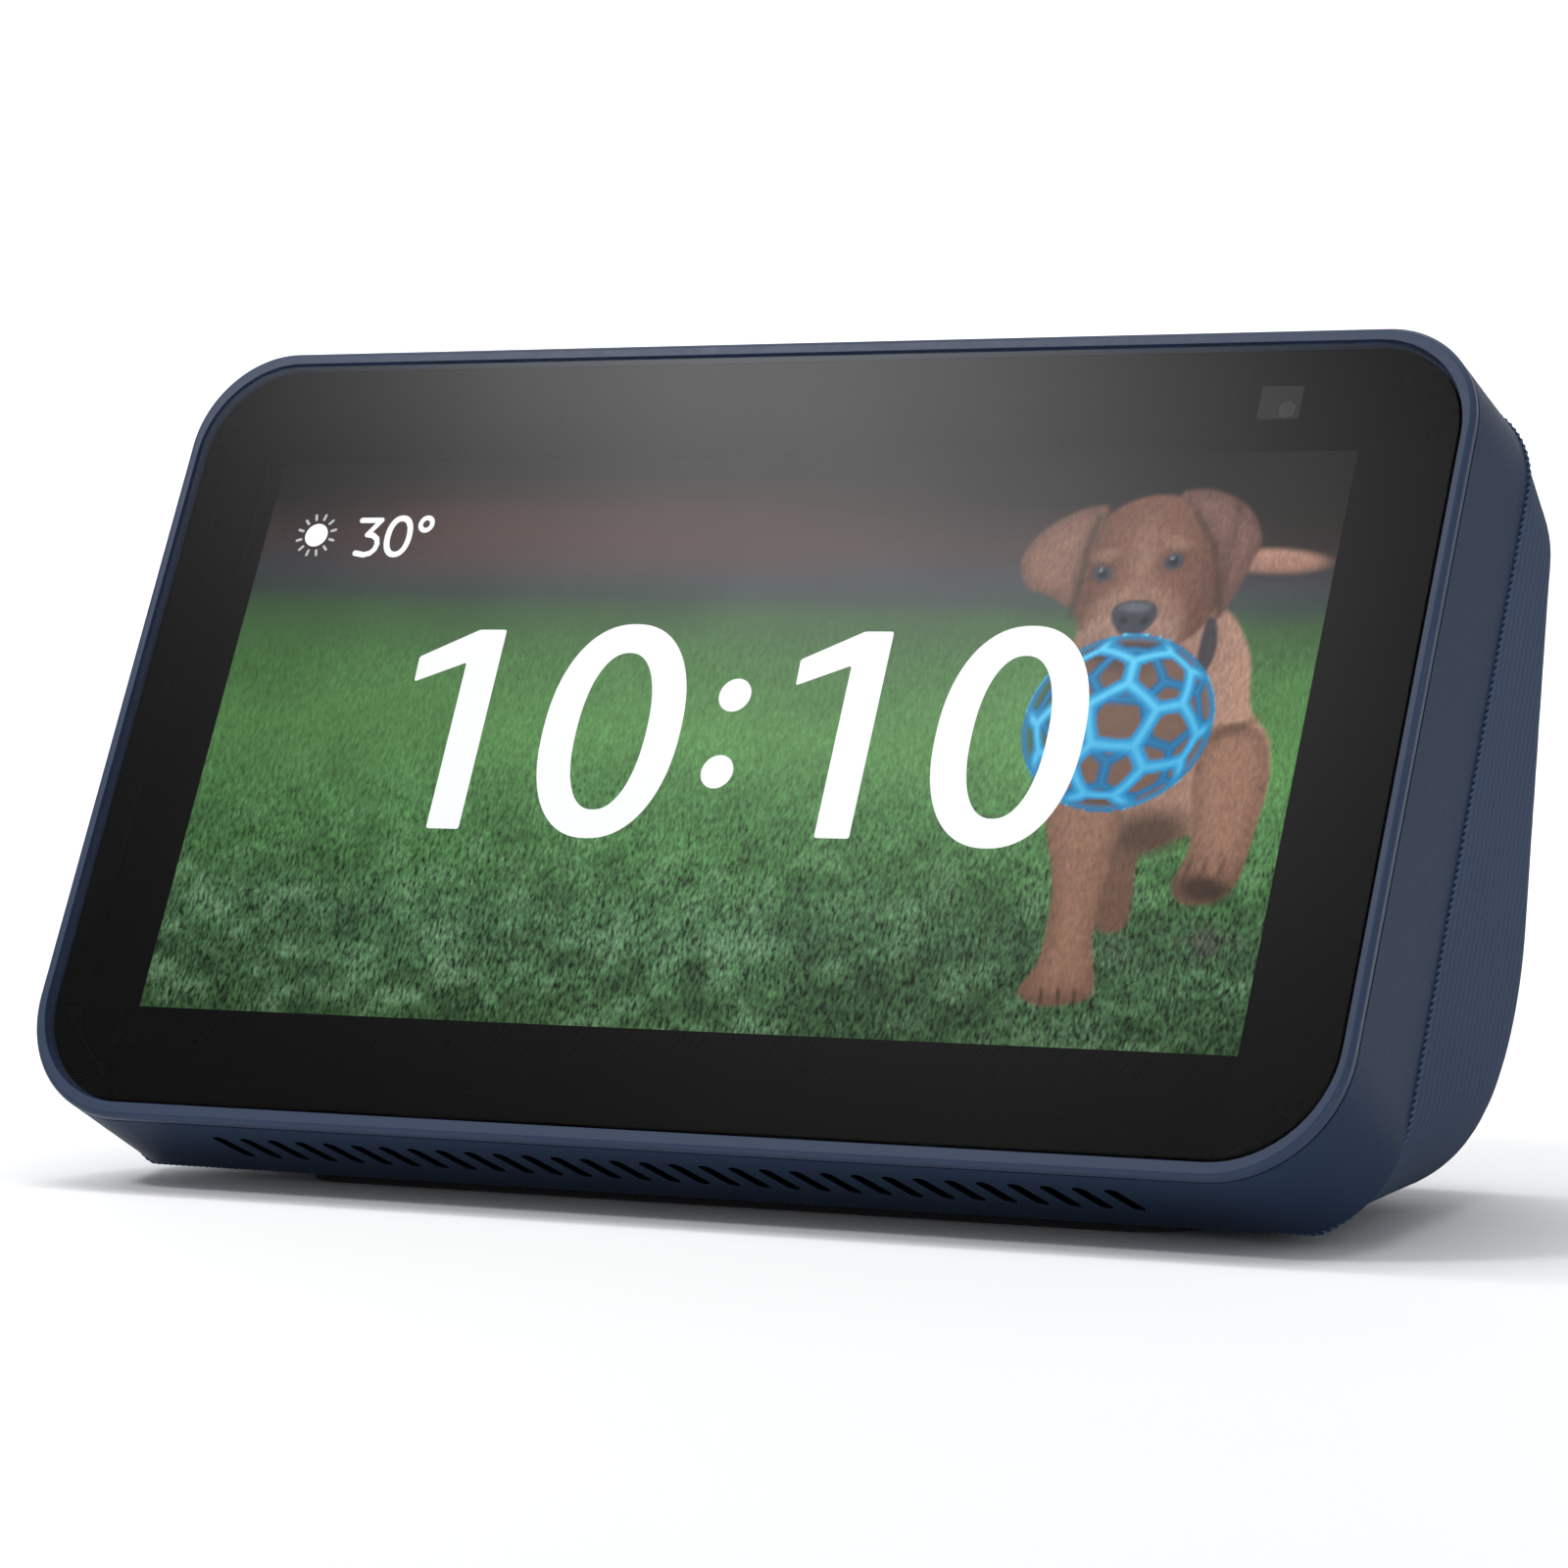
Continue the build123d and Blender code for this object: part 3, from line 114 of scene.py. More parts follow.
class Graph:
    """Short names for building a node material."""

    def __init__(self, name):
        self.material = bpy.data.materials.new(name)
        self.material.use_nodes = True
        self.tree = self.material.node_tree
        self.tree.nodes.clear()
        self.out = self.tree.nodes.new("ShaderNodeOutputMaterial")

    def node(self, kind, inputs=(), **settings):
        made = self.tree.nodes.new(kind)
        for key, value in settings.items():
            setattr(made, key, value)
        for key, value in dict(inputs).items():
            if isinstance(value, bpy.types.NodeSocket):
                self.tree.links.new(value, made.inputs[key])
            else:
                made.inputs[key].default_value = value
        return made

    def place(self):
        return self.node("ShaderNodeTexCoord").outputs["Object"]

    def noise(self, scale, detail=2.0, vector=None, roughness=0.5):
        inputs = {"Scale": scale, "Detail": detail, "Roughness": roughness}
        inputs["Vector"] = vector or self.place()
        return self.node("ShaderNodeTexNoise", inputs).outputs["Fac"]

    def math(self, operation, a, b=0.0, c=0.0):
        return self.node("ShaderNodeMath", {0: a, 1: b, 2: c}, operation=operation).outputs[0]

    def blend(self, share, a, b):
        mix = self.node("ShaderNodeMix", {"Factor": share}, data_type="RGBA")
        for socket, value in ((mix.inputs[6], a), (mix.inputs[7], b)):
            if isinstance(value, bpy.types.NodeSocket):
                self.tree.links.new(value, socket)
            else:
                socket.default_value = (*value[:3], 1)
        return mix.outputs[2]

    def bump(self, height, strength, distance):
        inputs = {"Height": height, "Strength": strength, "Distance": distance}
        return self.node("ShaderNodeBump", inputs).outputs["Normal"]

    def finish(self, shader):
        self.tree.links.new(shader, self.out.inputs["Surface"])
        return self.material


def slot_shade_share(g):
    """Share of a point that is on the walls of the sound slots in the chin, where shade is painted: 0
    outside, 1 inside them.
    """
    x, y, z = g.node("ShaderNodeSeparateXYZ", {0: g.place()}).outputs
    rise = g.math("MULTIPLY_ADD", g.math("SUBTRACT", y, PANEL.y), UP_FACE.y, PANEL_V * MM)
    rise = g.math("MULTIPLY_ADD", g.math("SUBTRACT", z, PANEL.z), UP_FACE.z, rise)
    start = g.node("ShaderNodeMapRange", {0: rise, 1: 0.02 * MM, 2: 0.12 * MM}).outputs[0]
    under = g.math("LESS_THAN", rise, CHIN_WALL * MM)
    within = g.math("LESS_THAN", g.math("ABSOLUTE", x), SLOT_REACH * MM)
    return g.math("MULTIPLY", start, g.math("MULTIPLY", under, within))


def surface(name, colour, roughness, metallic=0.0, grain=900.0, bump=0.05, spread=0.12, specular=0.5,
            shaded_slots=False):
    """Plain material whose colour, gloss and relief vary a little."""
    g = Graph(name)
    base = linear(colour)
    dark = [c * (1 - spread) for c in base]
    light = [min(1.0, c * (1 + spread)) for c in base]
    broad = g.noise(60, 3)
    fine = g.noise(grain, 2)
    rough = g.math("MULTIPLY_ADD", fine, 0.12, roughness - 0.06)
    tone = g.blend(broad, dark, light)
    # painted shade on the walls of the chin's sound slots
    if shaded_slots:
        tone = g.blend(slot_shade_share(g), tone, SLOT_SHADE)
    shader = g.node("ShaderNodeBsdfPrincipled", {
        "Base Color": tone,
        "Roughness": rough,
        "Metallic": metallic,
        "Specular IOR Level": specular,
        "Normal": g.bump(fine, bump, 0.00005),
    })
    return g.finish(shader.outputs[0])


def fabric_material(name, colour, ribbed=False):
    """Tight knit: two crossed families of ribs, with a little fuzz; on a cord, shade is painted between its
    ribs and light on them.
    """
    g = Graph(name)
    x, y, z = g.node("ShaderNodeSeparateXYZ", {0: g.place()}).outputs
    # both families run aslant of every wall, so that neither smears
    depth = g.math("MULTIPLY_ADD", y, INTO_FACE.y, g.math("MULTIPLY", z, INTO_FACE.z))
    height = g.math("MULTIPLY_ADD", y, UP_FACE.y, g.math("MULTIPLY", z, UP_FACE.z))
    rise, slope = g.math("MULTIPLY", height, 0.93), g.math("MULTIPLY", depth, 0.55)
    across = g.math("ADD", g.math("ADD", x, rise), slope)
    against = g.math("SUBTRACT", g.math("SUBTRACT", x, rise), slope)
    turns = 2 * math.pi / (KNIT_PITCH * MM)
    waves = [g.math("SINE", g.math("MULTIPLY", way, turns)) for way in (across, against)]
    weave = g.math("MULTIPLY_ADD", g.math("MULTIPLY", *waves), 0.5, 0.5)
    fuzz = g.noise(2600, 3)
    patch = g.noise(55, 3)
    height_map = g.math("MULTIPLY_ADD", fuzz, 0.5, weave)
    base = linear(colour)
    body = g.blend(weave, [c * 0.5 for c in base], [c * 1.3 for c in base])
    tone = g.blend(g.math("MULTIPLY", patch, 0.35), body, [c * 1.35 for c in base])
    # on a cord: painted shade on the thin rings between its ribs, painted light on the thick ribs
    if ribbed:
        rib_shade = g.node("ShaderNodeAttribute", attribute_name="rib_shade").outputs["Fac"]
        tone = g.blend(rib_shade, [c * 0.12 for c in base], [c * 2.1 for c in base])
    shader = g.node("ShaderNodeBsdfPrincipled", {
        "Base Color": tone,
        "Roughness": 0.86,
        "Specular IOR Level": 0.06,
        "Sheen Weight": 0.05,
        "Sheen Roughness": 0.45,
        "Normal": g.bump(height_map, 0.75, 0.00018),
    })
    return g.finish(shader.outputs[0])


def glass_material(name):
    """Clear cover that mirrors softly on its outside only; what lies under it shows through."""
    g = Graph(name)
    clear = g.node("ShaderNodeBsdfTransparent", {"Color": (0.97, 0.975, 0.98, 1)})
    smear = g.math("MULTIPLY_ADD", g.noise(35, 3), 0.04, GLASS_ROUGHNESS)
    shine = g.node("ShaderNodeBsdfGlossy", {"Color": (1, 1, 1, 1), "Roughness": smear})
    fresnel = g.node("ShaderNodeFresnel", {"IOR": GLASS_IOR}).outputs[0]
    inside = g.node("ShaderNodeNewGeometry").outputs["Backfacing"]
    share = g.math("MULTIPLY", fresnel, g.math("SUBTRACT", 1.0, inside))
    both = g.node("ShaderNodeMixShader", {0: share, 1: clear.outputs[0], 2: shine.outputs[0]})
    return g.finish(both.outputs[0])


def picture_material():
    """Lit picture: painted corner colours, with blades of grass and hair as grain between them."""
    g = Graph("picture")
    paint = g.node("ShaderNodeAttribute", attribute_name="paint").outputs["Color"]
    amount = g.node("ShaderNodeAttribute", attribute_name="grain").outputs["Fac"]
    blades = []
    for scale, lean, squash in ((3400, 0.5, 0.45), (2600, -0.7, 0.4)):
        turned = {"Vector": g.place(), "Rotation": (0, lean, 0), "Scale": (1.0, 0.4, squash)}
        blades.append(g.noise(scale, 3, g.node("ShaderNodeMapping", turned).outputs[0], 0.6))
    mixed = g.math("SUBTRACT", g.math("ADD", *blades), 1.0)
    gain = g.math("MAXIMUM", g.math("MULTIPLY_ADD", mixed, g.math("MULTIPLY", amount, 6.0), 1.0), 0.12)
    shader = g.node("ShaderNodeEmission", {"Color": paint, "Strength": gain})
    return g.finish(shader.outputs[0])


SLOT_LOOKS = {
    "tape": ("0c0c0c", 0.7, 0.0),
    "display_cell": ("15161a", 0.3, 0.0),
    "backlight": ("dfe3e8", 0.5, 0.0),
    "steel_sheet": ("a8a8a6", 0.35, 1.0),
    "inner_plastic": ("1d2026", 0.55, 0.0),
    "foot_rubber": ("141416", 0.85, 0.0),
    "screw_steel": ("8a8a8e", 0.35, 1.0),
    "magnet": ("b8babd", 0.25, 1.0),
    "inner_frame": ("8e8f92", 0.4, 1.0),
    "circuit_board": ("1c4a30", 0.4, 0.0),
    "chip_black": ("17181a", 0.5, 0.0),
    "thermal_rubber": ("8790a0", 0.75, 0.0),
    "aluminium": ("c4c5c7", 0.35, 1.0),
    "flex": ("b8763a", 0.4, 0.0),
    "copper_foil": ("c08a5a", 0.35, 1.0),
    "lens_glass": ("1b1018", 0.12, 0.0),
    "sensor_window": ("2a2a2c", 0.3, 0.0),
    "switch_stem": ("b5b5b2", 0.5, 0.0),
    "foam": ("1a1a1b", 0.9, 0.0),
    "mesh_cloth": ("08080a", 0.95, 0.0),
    "speaker_steel": ("9b9ca0", 0.35, 1.0),
    "speaker_basket": ("1b1b1c", 0.5, 0.0),
    "cone_paper": ("26262a", 0.8, 0.0),
    "coil_copper": ("b87343", 0.35, 1.0),
    "surround_rubber": ("151516", 0.7, 0.0),
    "spider_cloth": ("a8834e", 0.85, 0.0),
    "wire_jacket": ("151516", 0.6, 0.0),
    "contact_metal": ("c9cacc", 0.25, 1.0),
}
looks = {slot: surface(slot, *look) for slot, look in SLOT_LOOKS.items()}
looks["black_mask"] = surface("black_mask", "060606", 0.9, specular=0.0)
looks["front_trim"] = surface("front_trim", "2d3a52", 0.38, grain=1500, bump=0.06, spread=0.05,
                              specular=0.2)
# the front shell gets painted shade on the walls of its sound slots
looks["front_shell"] = surface("front_shell", "263349", 0.46, grain=1500, bump=0.1, spread=0.05,
                               specular=0.06, shaded_slots=True)
for slot, roughness in (("buttons", 0.42), ("shutter_plastic", 0.45)):
    looks[slot] = surface(slot, "26354f", roughness, grain=1500, bump=0.08, spread=0.05, specular=0.12)
looks["fabric"] = fabric_material("fabric", "2f3f58")
looks["cover_glass"] = glass_material("cover_glass")

for entry in frame["record"]["subparts"]:
    node = frame["nodes"][entry["node"]]
    node.data.materials.clear()
    node.data.materials.append(looks[entry["material_slot"]])
    # round faces shade smoothly; the glass mirrors as one flat sheet
    if entry["node"] == "cover_glass":
        node.data.shade_flat()
    else:
        node.data.shade_smooth()
        node.data.set_sharp_from_angle(angle=math.radians(CRISP_DEGREES))


# ---------------------------------------------------------------- picture on the display
def step(low, high, x):
    """Smooth step from 0 at low to 1 at high."""
    t = np.clip((x - low) / (high - low), 0, 1)
    return t * t * (3 - 2 * t)


def value_noise(x, y, seed):
    """Seeded smooth noise from 0 to 1."""
    table = np.random.default_rng(seed).random((97, 97))
    xi, yi = np.floor(x).astype(int), np.floor(y).astype(int)
    fx, fy = x - xi, y - yi
    fx, fy = fx * fx * (3 - 2 * fx), fy * fy * (3 - 2 * fy)
    a, b = table[xi % 97, yi % 97], table[(xi + 1) % 97, yi % 97]
    c, d = table[xi % 97, (yi + 1) % 97], table[(xi + 1) % 97, (yi + 1) % 97]
    return (a * (1 - fx) + b * fx) * (1 - fy) + (c * (1 - fx) + d * fx) * fy


def clouds(x, y, seed):
    """Four octaves of the smooth noise, from 0 to 1."""
    return sum(value_noise(x * 2**k, y * 2**k, seed + k) / 2**k for k in range(4)) / 1.875


class Canvas:
    """Colours at points (u, w) of the picture, painted shape over shape."""

    def __init__(self, u, w):
        self.u, self.w = u, w
        self.colour = np.zeros((len(u), 3))
        self.grain = np.zeros(len(u))

    def lay(self, colour, share):
        share = np.clip(share, 0, 1)[:, None]
        self.colour = self.colour * (1 - share) + np.asarray(colour) * share

    def oval(self, centre, radii, turn=0.0, soft=0.1):
        """Share of an oval at each point, turned anticlockwise by degrees, and the place inside it."""
        c, s = math.cos(math.radians(turn)), math.sin(math.radians(turn))
        x, y = self.u - centre[0], self.w - centre[1]
        a, b = (x * c + y * s) / radii[0], (-x * s + y * c) / radii[1]
        reach = np.hypot(a, b)
        return 1 - step(1 - soft, 1 + soft, reach), a, b

    def shape(self, corners, soft=0.3):
        """Share of a smooth closed outline through the corners."""
        pts = smooth_loop(corners)
        inside = np.zeros(len(self.u), bool)
        nearest = np.full(len(self.u), 1e9)
        for (ax, ay), (bx, by) in zip(pts, np.roll(pts, -1, 0)):
            crosses = (ay > self.w) != (by > self.w)
            reach = (bx - ax) * (self.w - ay) / (by - ay + 1e-12) + ax
            inside ^= crosses & (self.u < reach)
            ex, ey = bx - ax, by - ay
            t = np.clip(((self.u - ax) * ex + (self.w - ay) * ey) / (ex * ex + ey * ey + 1e-12), 0, 1)
            nearest = np.minimum(nearest, np.hypot(self.u - ax - t * ex, self.w - ay - t * ey))
        signed = np.where(inside, nearest, -nearest)
        return step(-soft, soft, signed), signed


def smooth_loop(corners, per_side=6):
    """Closed Catmull-Rom curve through the corners."""
    p = np.asarray(corners, float)
    before, after, later = np.roll(p, 1, 0), np.roll(p, -1, 0), np.roll(p, -2, 0)
    out = []
    for i in range(len(p)):
        for t in np.arange(per_side) / per_side:
            out.append(0.5 * (2 * p[i] + (after[i] - before[i]) * t
                              + (2 * before[i] - 5 * p[i] + 4 * after[i] - later[i]) * t * t
                              + (3 * p[i] - before[i] - 3 * after[i] + later[i]) * t**3))
    return np.array(out)


def paint_meadow(cv):
    """Lawn in front of a dark blurred background, from colours at heights w of the picture."""
    u, w = cv.u, cv.w
    rows = [(31, "0c0c0d"), (26, "1f1b1c"), (21.5, "413435"), (18, "3e4145"), (15.5, "3d4a45"),
            (13.4, "42603e"), (8, "4d7a44"), (0, "588a4c"), (-8, "50804a"), (-14, "456f40"),
            (-20, "486c48"), (-31, "395735")]
    levels = np.array([r[0] for r in rows])[::-1]
    table = np.array([linear(r[1]) for r in rows])[::-1]
    sway = w + 1.2 * (clouds(u / 14 + 5, w / 9 + 3, 11) - 0.5) + 0.02 * u
    cv.colour = np.stack([np.interp(sway, levels, table[:, k]) for k in range(3)], 1)
    glow = 1 + 0.22 * (clouds(u / 11 + 9, w / 7 + 2, 21) - 0.5) * 2
    cv.colour *= glow[:, None]
    cv.colour *= (0.72 + 0.28 * step(-66, -10, u) + 0.1 * step(10, 50, u))[:, None]
    # a warm blurred hedge on the left and a dark corner on the right
    warm = step(16, 20, w) * (1 - step(24, 30, w)) * (1 - step(-10, 30, u)) * step(-60, -35, u)
    cv.lay(linear("6b4a46"), 0.3 * warm)
    cv.lay(linear("20231f"), 0.7 * step(44, 60, u) * step(16, 22, w))
    # tufts of grass, coarser towards the bottom; the blades themselves are grain in the material
    near = 1 - step(-24, 4, w)
    tufts = clouds(u / 3.2, w / 2.2, 41)
    cv.colour *= np.clip(1 + near * 1.3 * (tufts - 0.5), 0.4, 2.0)[:, None]
    cv.lay(linear("6f8a70"), 0.25 * near * step(0.5, 0.75, tufts))
    cv.colour *= (1 - 0.22 * near * step(0, 25, u))[:, None]
    cv.grain = 0.04 + 0.5 * near + 0.12 * (1 - step(8, 14, w))
    earth = cv.oval((54, -20.5), (7, 2.2), 4, 0.5)[0] * step(0.35, 0.6, tufts)
    cv.lay(linear("3c3634"), 0.75 * earth)


def paint_puppy(cv):
    """Brown puppy running towards the viewer, painted from its far parts to its near ones."""
    u, w = cv.u, cv.w
    fur = clouds(u * 1.1 + 3, w * 1.1 + 8, 51) - 0.5
    hair = value_noise(u * 4.2, w * 2.6, 55) - 0.5
    texture = (1 + 0.16 * fur + 0.12 * hair)[:, None]

    def coat(share, code, light=0.0):
        tone = np.asarray(linear(code))[None, :] * texture * (1 + light * np.ones(len(u)))[:, None]
        share = np.clip(share, 0, 1)[:, None]
        cv.colour = cv.colour * (1 - share) + tone * share
        cv.grain = cv.grain * (1 - share[:, 0]) + 0.13 * share[:, 0]

    # tail, blurred in the distance
    share, _, b = cv.oval((56.3, 19.3), (5.4, 1.25), -2, 0.35)
    coat(share, "a9806f", 0.25 * b)
    # far leg
    far_leg = [(44.2, -7), (47.6, -7), (48.6, -14), (48.7, -18.6), (45.6, -18.9), (45.0, -14)]
    share, _ = cv.shape(far_leg, 0.35)
    coat(share, "7c5c4b", -0.25 + 0.1 * fur)
    # chest and shoulder
    chest = [(37.6, 13), (44, 12), (51.5, 14.5), (55.6, 10), (57.0, 4), (59.6, 0.6), (60.3, -5),
             (58.6, -8), (53, -9.2), (47.5, -11.6), (41.8, -11), (38.2, -8), (36.4, 0)]
    share, _ = cv.shape(chest, 0.35)
    flank = step(50, 57, u)
    coat(share, "a17d6b", 0.3 * flank - 0.45 * (1 - step(-12, -3, w)) * (1 - flank))
    belly = cv.oval((49.0, -9.2), (4.2, 2.2), 10, 0.6)[0]
    coat(0.85 * belly, "4a372a")
    # raised leg with its dark pad
    raised = [(53.6, 2), (58.6, 1.6), (60.3, -3), (60.0, -8.5), (59.3, -13.6), (57.4, -15.8),
              (54.2, -16.2), (52.6, -14.4), (53.6, -10.5), (53.0, -6.5), (52.4, -2)]
    share, signed = cv.shape(raised, 0.3)
    round_leg = 0.30 * step(0.2, 2.5, signed) - 0.12
    coat(share, "8f6a58", round_leg - 0.35 * (1 - step(-15, -9, w)))
    crease = cv.oval((55.4, 1.6), (3.2, 0.55), 24, 0.6)[0]
    cv.lay(linear("5d4436"), 0.65 * crease)
    pad = cv.oval((55.9, -14.6), (2.6, 1.3), -8, 0.55)[0]
    coat(0.9 * pad, "35281f")
    for toe in (53.9, 55.5, 57.3):
        crook = cv.oval((toe, -12.6), (0.25, 1.2), -10, 0.6)[0]
        cv.lay(linear("4c372c"), 0.6 * crook)
    # standing leg and paw
    standing = [(38.0, -6), (45.4, -6), (45.7, -12), (45.4, -19), (46.6, -24.4), (46.3, -26.0),
                (42.6, -26.9), (40.4, -26.6), (38.9, -25.4), (40.4, -22), (40.2, -15)]
    share, signed = cv.shape(standing, 0.3)
    coat(share, "8a6653", 0.28 * step(0.2, 2.2, signed) - 0.14 - 0.3 * (1 - step(-27, -22, w)))
    for toe in (41.4, 43.2, 44.9):
        gap = cv.oval((toe, -25.9), (0.22, 0.9), 12, 0.5)[0]
        cv.lay(linear("3d2d25"), 0.7 * gap)
    # head
    head = [(36.4, 20), (37.2, 23.6), (40.4, 25.9), (44.8, 26.3), (49.0, 24.0), (51.2, 19.6),
            (51.3, 15), (49.6, 11.6), (45.8, 9.6), (41.4, 9.3), (37.8, 11.4), (35.9, 15)]
    share, signed = cv.shape(head, 0.3)
    dome = 0.24 * step(0.5, 5, signed) - 0.12 + 0.1 * step(16, 25, w)
    shade = 0.25 * step(36.5, 41, u) * (1 - step(45, 50.5, u)) - 0.16
    coat(share, "765143", dome + shade)
    stop = np.exp(-((u - 42.6) / 1.2) ** 2 - ((w - 19.4) / 4) ** 2)
    coat(share * stop, "94705f")
    # ears
    left_ear = [(37.6, 25.2), (34.6, 24.8), (31.0, 22.6), (29.3, 19.4), (30.6, 16.6), (33.4, 15.6),
                (35.6, 14.6), (36.3, 18.2), (37.0, 22)]
    share, signed = cv.shape(left_ear, 0.3)
    coat(share, "7a5a4d", 0.4 * step(0.1, 1.8, signed) - 0.1 - 0.25 * step(34.0, 36.6, u))
    right_ear = [(45.2, 26.6), (48.6, 26.9), (52.4, 25.2), (54.6, 21.8), (54.0, 18.8), (52.9, 15.6),
                 (51.6, 13.2), (50.9, 17), (49.4, 21.4), (46.8, 24.6)]
    share, signed = cv.shape(right_ear, 0.3)
    fold = step(50.4, 51.6, u) * (1 - step(51.6, 52.6, u))
    coat(share, "70524a", 0.4 * step(0.1, 1.9, signed) - 0.12 - 0.3 * fold)
    # dark lines where the ears meet the head
    for line in ([(36.7, 23.8), (36.2, 20.5), (36.2, 17.0), (35.9, 13.4)],
                 [(47.2, 24.4), (49.8, 21), (50.9, 17.2), (51.3, 13.0)]):
        for (ax, ay), (bx, by) in zip(line, line[1:]):
            ex, ey = bx - ax, by - ay
            t = np.clip(((u - ax) * ex + (w - ay) * ey) / (ex * ex + ey * ey), 0, 1)
            gap = np.hypot(u - ax - t * ex, w - ay - t * ey)
            cv.lay(linear("4a352c"), 0.6 * (1 - step(0.1, 0.55, gap)))
    # muzzle
    share, _, b = cv.oval((42.9, 12.2), (5.3, 4.6), 0, 0.22)
    coat(share, "8f6c5c", 0.3 * b - 0.1)
    for side in (-1, 1):
        cheek, _, b = cv.oval((42.8 + 2.6 * side, 11.0), (2.6, 2.3), 0, 0.35)
        coat(cheek * 0.8, "99776a", 0.25 * b)
    # eyes and brows
    for (ex, ey), turn in (((38.4, 18.0), -6), ((45.8, 19.3), 10)):
        socket = cv.oval((ex, ey + 0.1), (1.75, 1.35), turn, 0.5)[0]
        cv.lay(linear("553a30"), 0.6 * socket)
        brow = cv.oval((ex, ey + 2.0), (1.4, 0.7), -turn, 0.6)[0]
        cv.lay(linear("9a7464"), 0.6 * brow)
        ball = cv.oval((ex, ey), (1.02, 0.84), turn, 0.2)[0]
        cv.lay(linear("3b434f"), ball)
        pupil = cv.oval((ex, ey), (0.5, 0.5), 0, 0.3)[0]
        cv.lay(linear("101014"), 0.85 * pupil)
        spark = cv.oval((ex - 0.2, ey + 0.4), (0.24, 0.16), 0, 0.5)[0]
        cv.lay(linear("9aa0aa"), 0.7 * spark)
    # nose and mouth
    nose = cv.shape([(40.6, 14.6), (42.6, 15.2), (44.7, 14.8), (45.2, 13.4), (44.2, 11.9), (42.8, 11.2),
                     (41.4, 11.8), (40.4, 13.2)], 0.2)[0]
    cv.lay(linear("3a3d47"), nose)
    top = cv.oval((42.7, 14.4), (1.6, 0.5), 0, 0.5)[0]
    cv.lay(linear("6d717b"), 0.7 * top)
    for side in (-1, 1):
        hole = cv.oval((42.8 + 1.15 * side, 13.0), (0.5, 0.4), 20 * side, 0.35)[0]
        cv.lay(linear("17181d"), 0.85 * hole)
    mouth = cv.oval((43.2, 9.7), (5.0, 0.8), 2, 0.5)[0]
    cv.lay(linear("35261f"), 0.85 * mouth)
    collar = cv.shape([(50.6, 13.2), (51.8, 12.6), (52.2, 9.6), (51.4, 7.6), (50.4, 9.0)], 0.25)[0]
    cv.lay(linear("28303c"), 0.9 * collar)


def paint_ball(cv):
    """Openwork rubber ball: the edges between cells spread evenly over a sphere."""
    centre, radii = (43.4, 2.3), (10.1, 9.3)
    x, y = (cv.u - centre[0]) / radii[0], (cv.w - centre[1]) / radii[1]
    reach = np.hypot(x, y)
    near = reach < 1.0
    depth = np.sqrt(np.clip(1 - reach**2, 0, 1))
    # cell middles of a ball of pentagons and hexagons: the 12 corners of an icosahedron and the 20
    # of a dodecahedron
    golden = (1 + math.sqrt(5)) / 2
    corners = [(0, a, b * golden) for a in (-1, 1) for b in (-1, 1)]
    seeds = [np.roll(c, k) for c in corners for k in range(3)]
    seeds += [np.roll((0, b * golden, a / golden), k) for a in (-1, 1) for b in (-1, 1) for k in range(3)]
    seeds += [(a, b, c) for a in (-1, 1) for b in (-1, 1) for c in (-1, 1)]
    seeds = np.array(seeds, float)
    seeds /= np.linalg.norm(seeds, axis=1)[:, None]
    turn = Matrix.Rotation(0.42, 3, "X") @ Matrix.Rotation(0.3, 3, "Y") @ Matrix.Rotation(0.5, 3, "Z")
    seeds = seeds @ np.array(turn).T
    for facing, codes, width in ((-1, ("0f6798", "1a86bc"), 0.09), (1, ("1290cc", "62d6fc"), 0.14)):
        points = np.stack([x, y, facing * depth], 1)
        closeness = np.sort(np.arccos(np.clip(points @ seeds.T, -1, 1)), 1)
        ridge = closeness[:, 1] - closeness[:, 0]
        bar = (1 - step(width, width + 0.06, ridge)) * near
        crest = (1 - step(0.0, width, ridge)) * (0.55 + 0.45 * step(-0.6, 0.8, y - 0.3 * x))
        dull, bright = (np.asarray(linear(code)) for code in codes)
        tone = dull * (1 - crest)[:, None] + bright * crest[:, None]
        if facing < 0:
            cv.lay(linear("33251f"), 0.55 * near)
            cv.grain = np.where(near, 0.02, cv.grain)
        share = bar[:, None]
        cv.colour = cv.colour * (1 - share) + tone * share
    rim = near * step(0.9, 0.97, reach)
    cv.lay(linear("1c7fb0"), 0.85 * rim * (1 - step(0.985, 1.0, reach)))


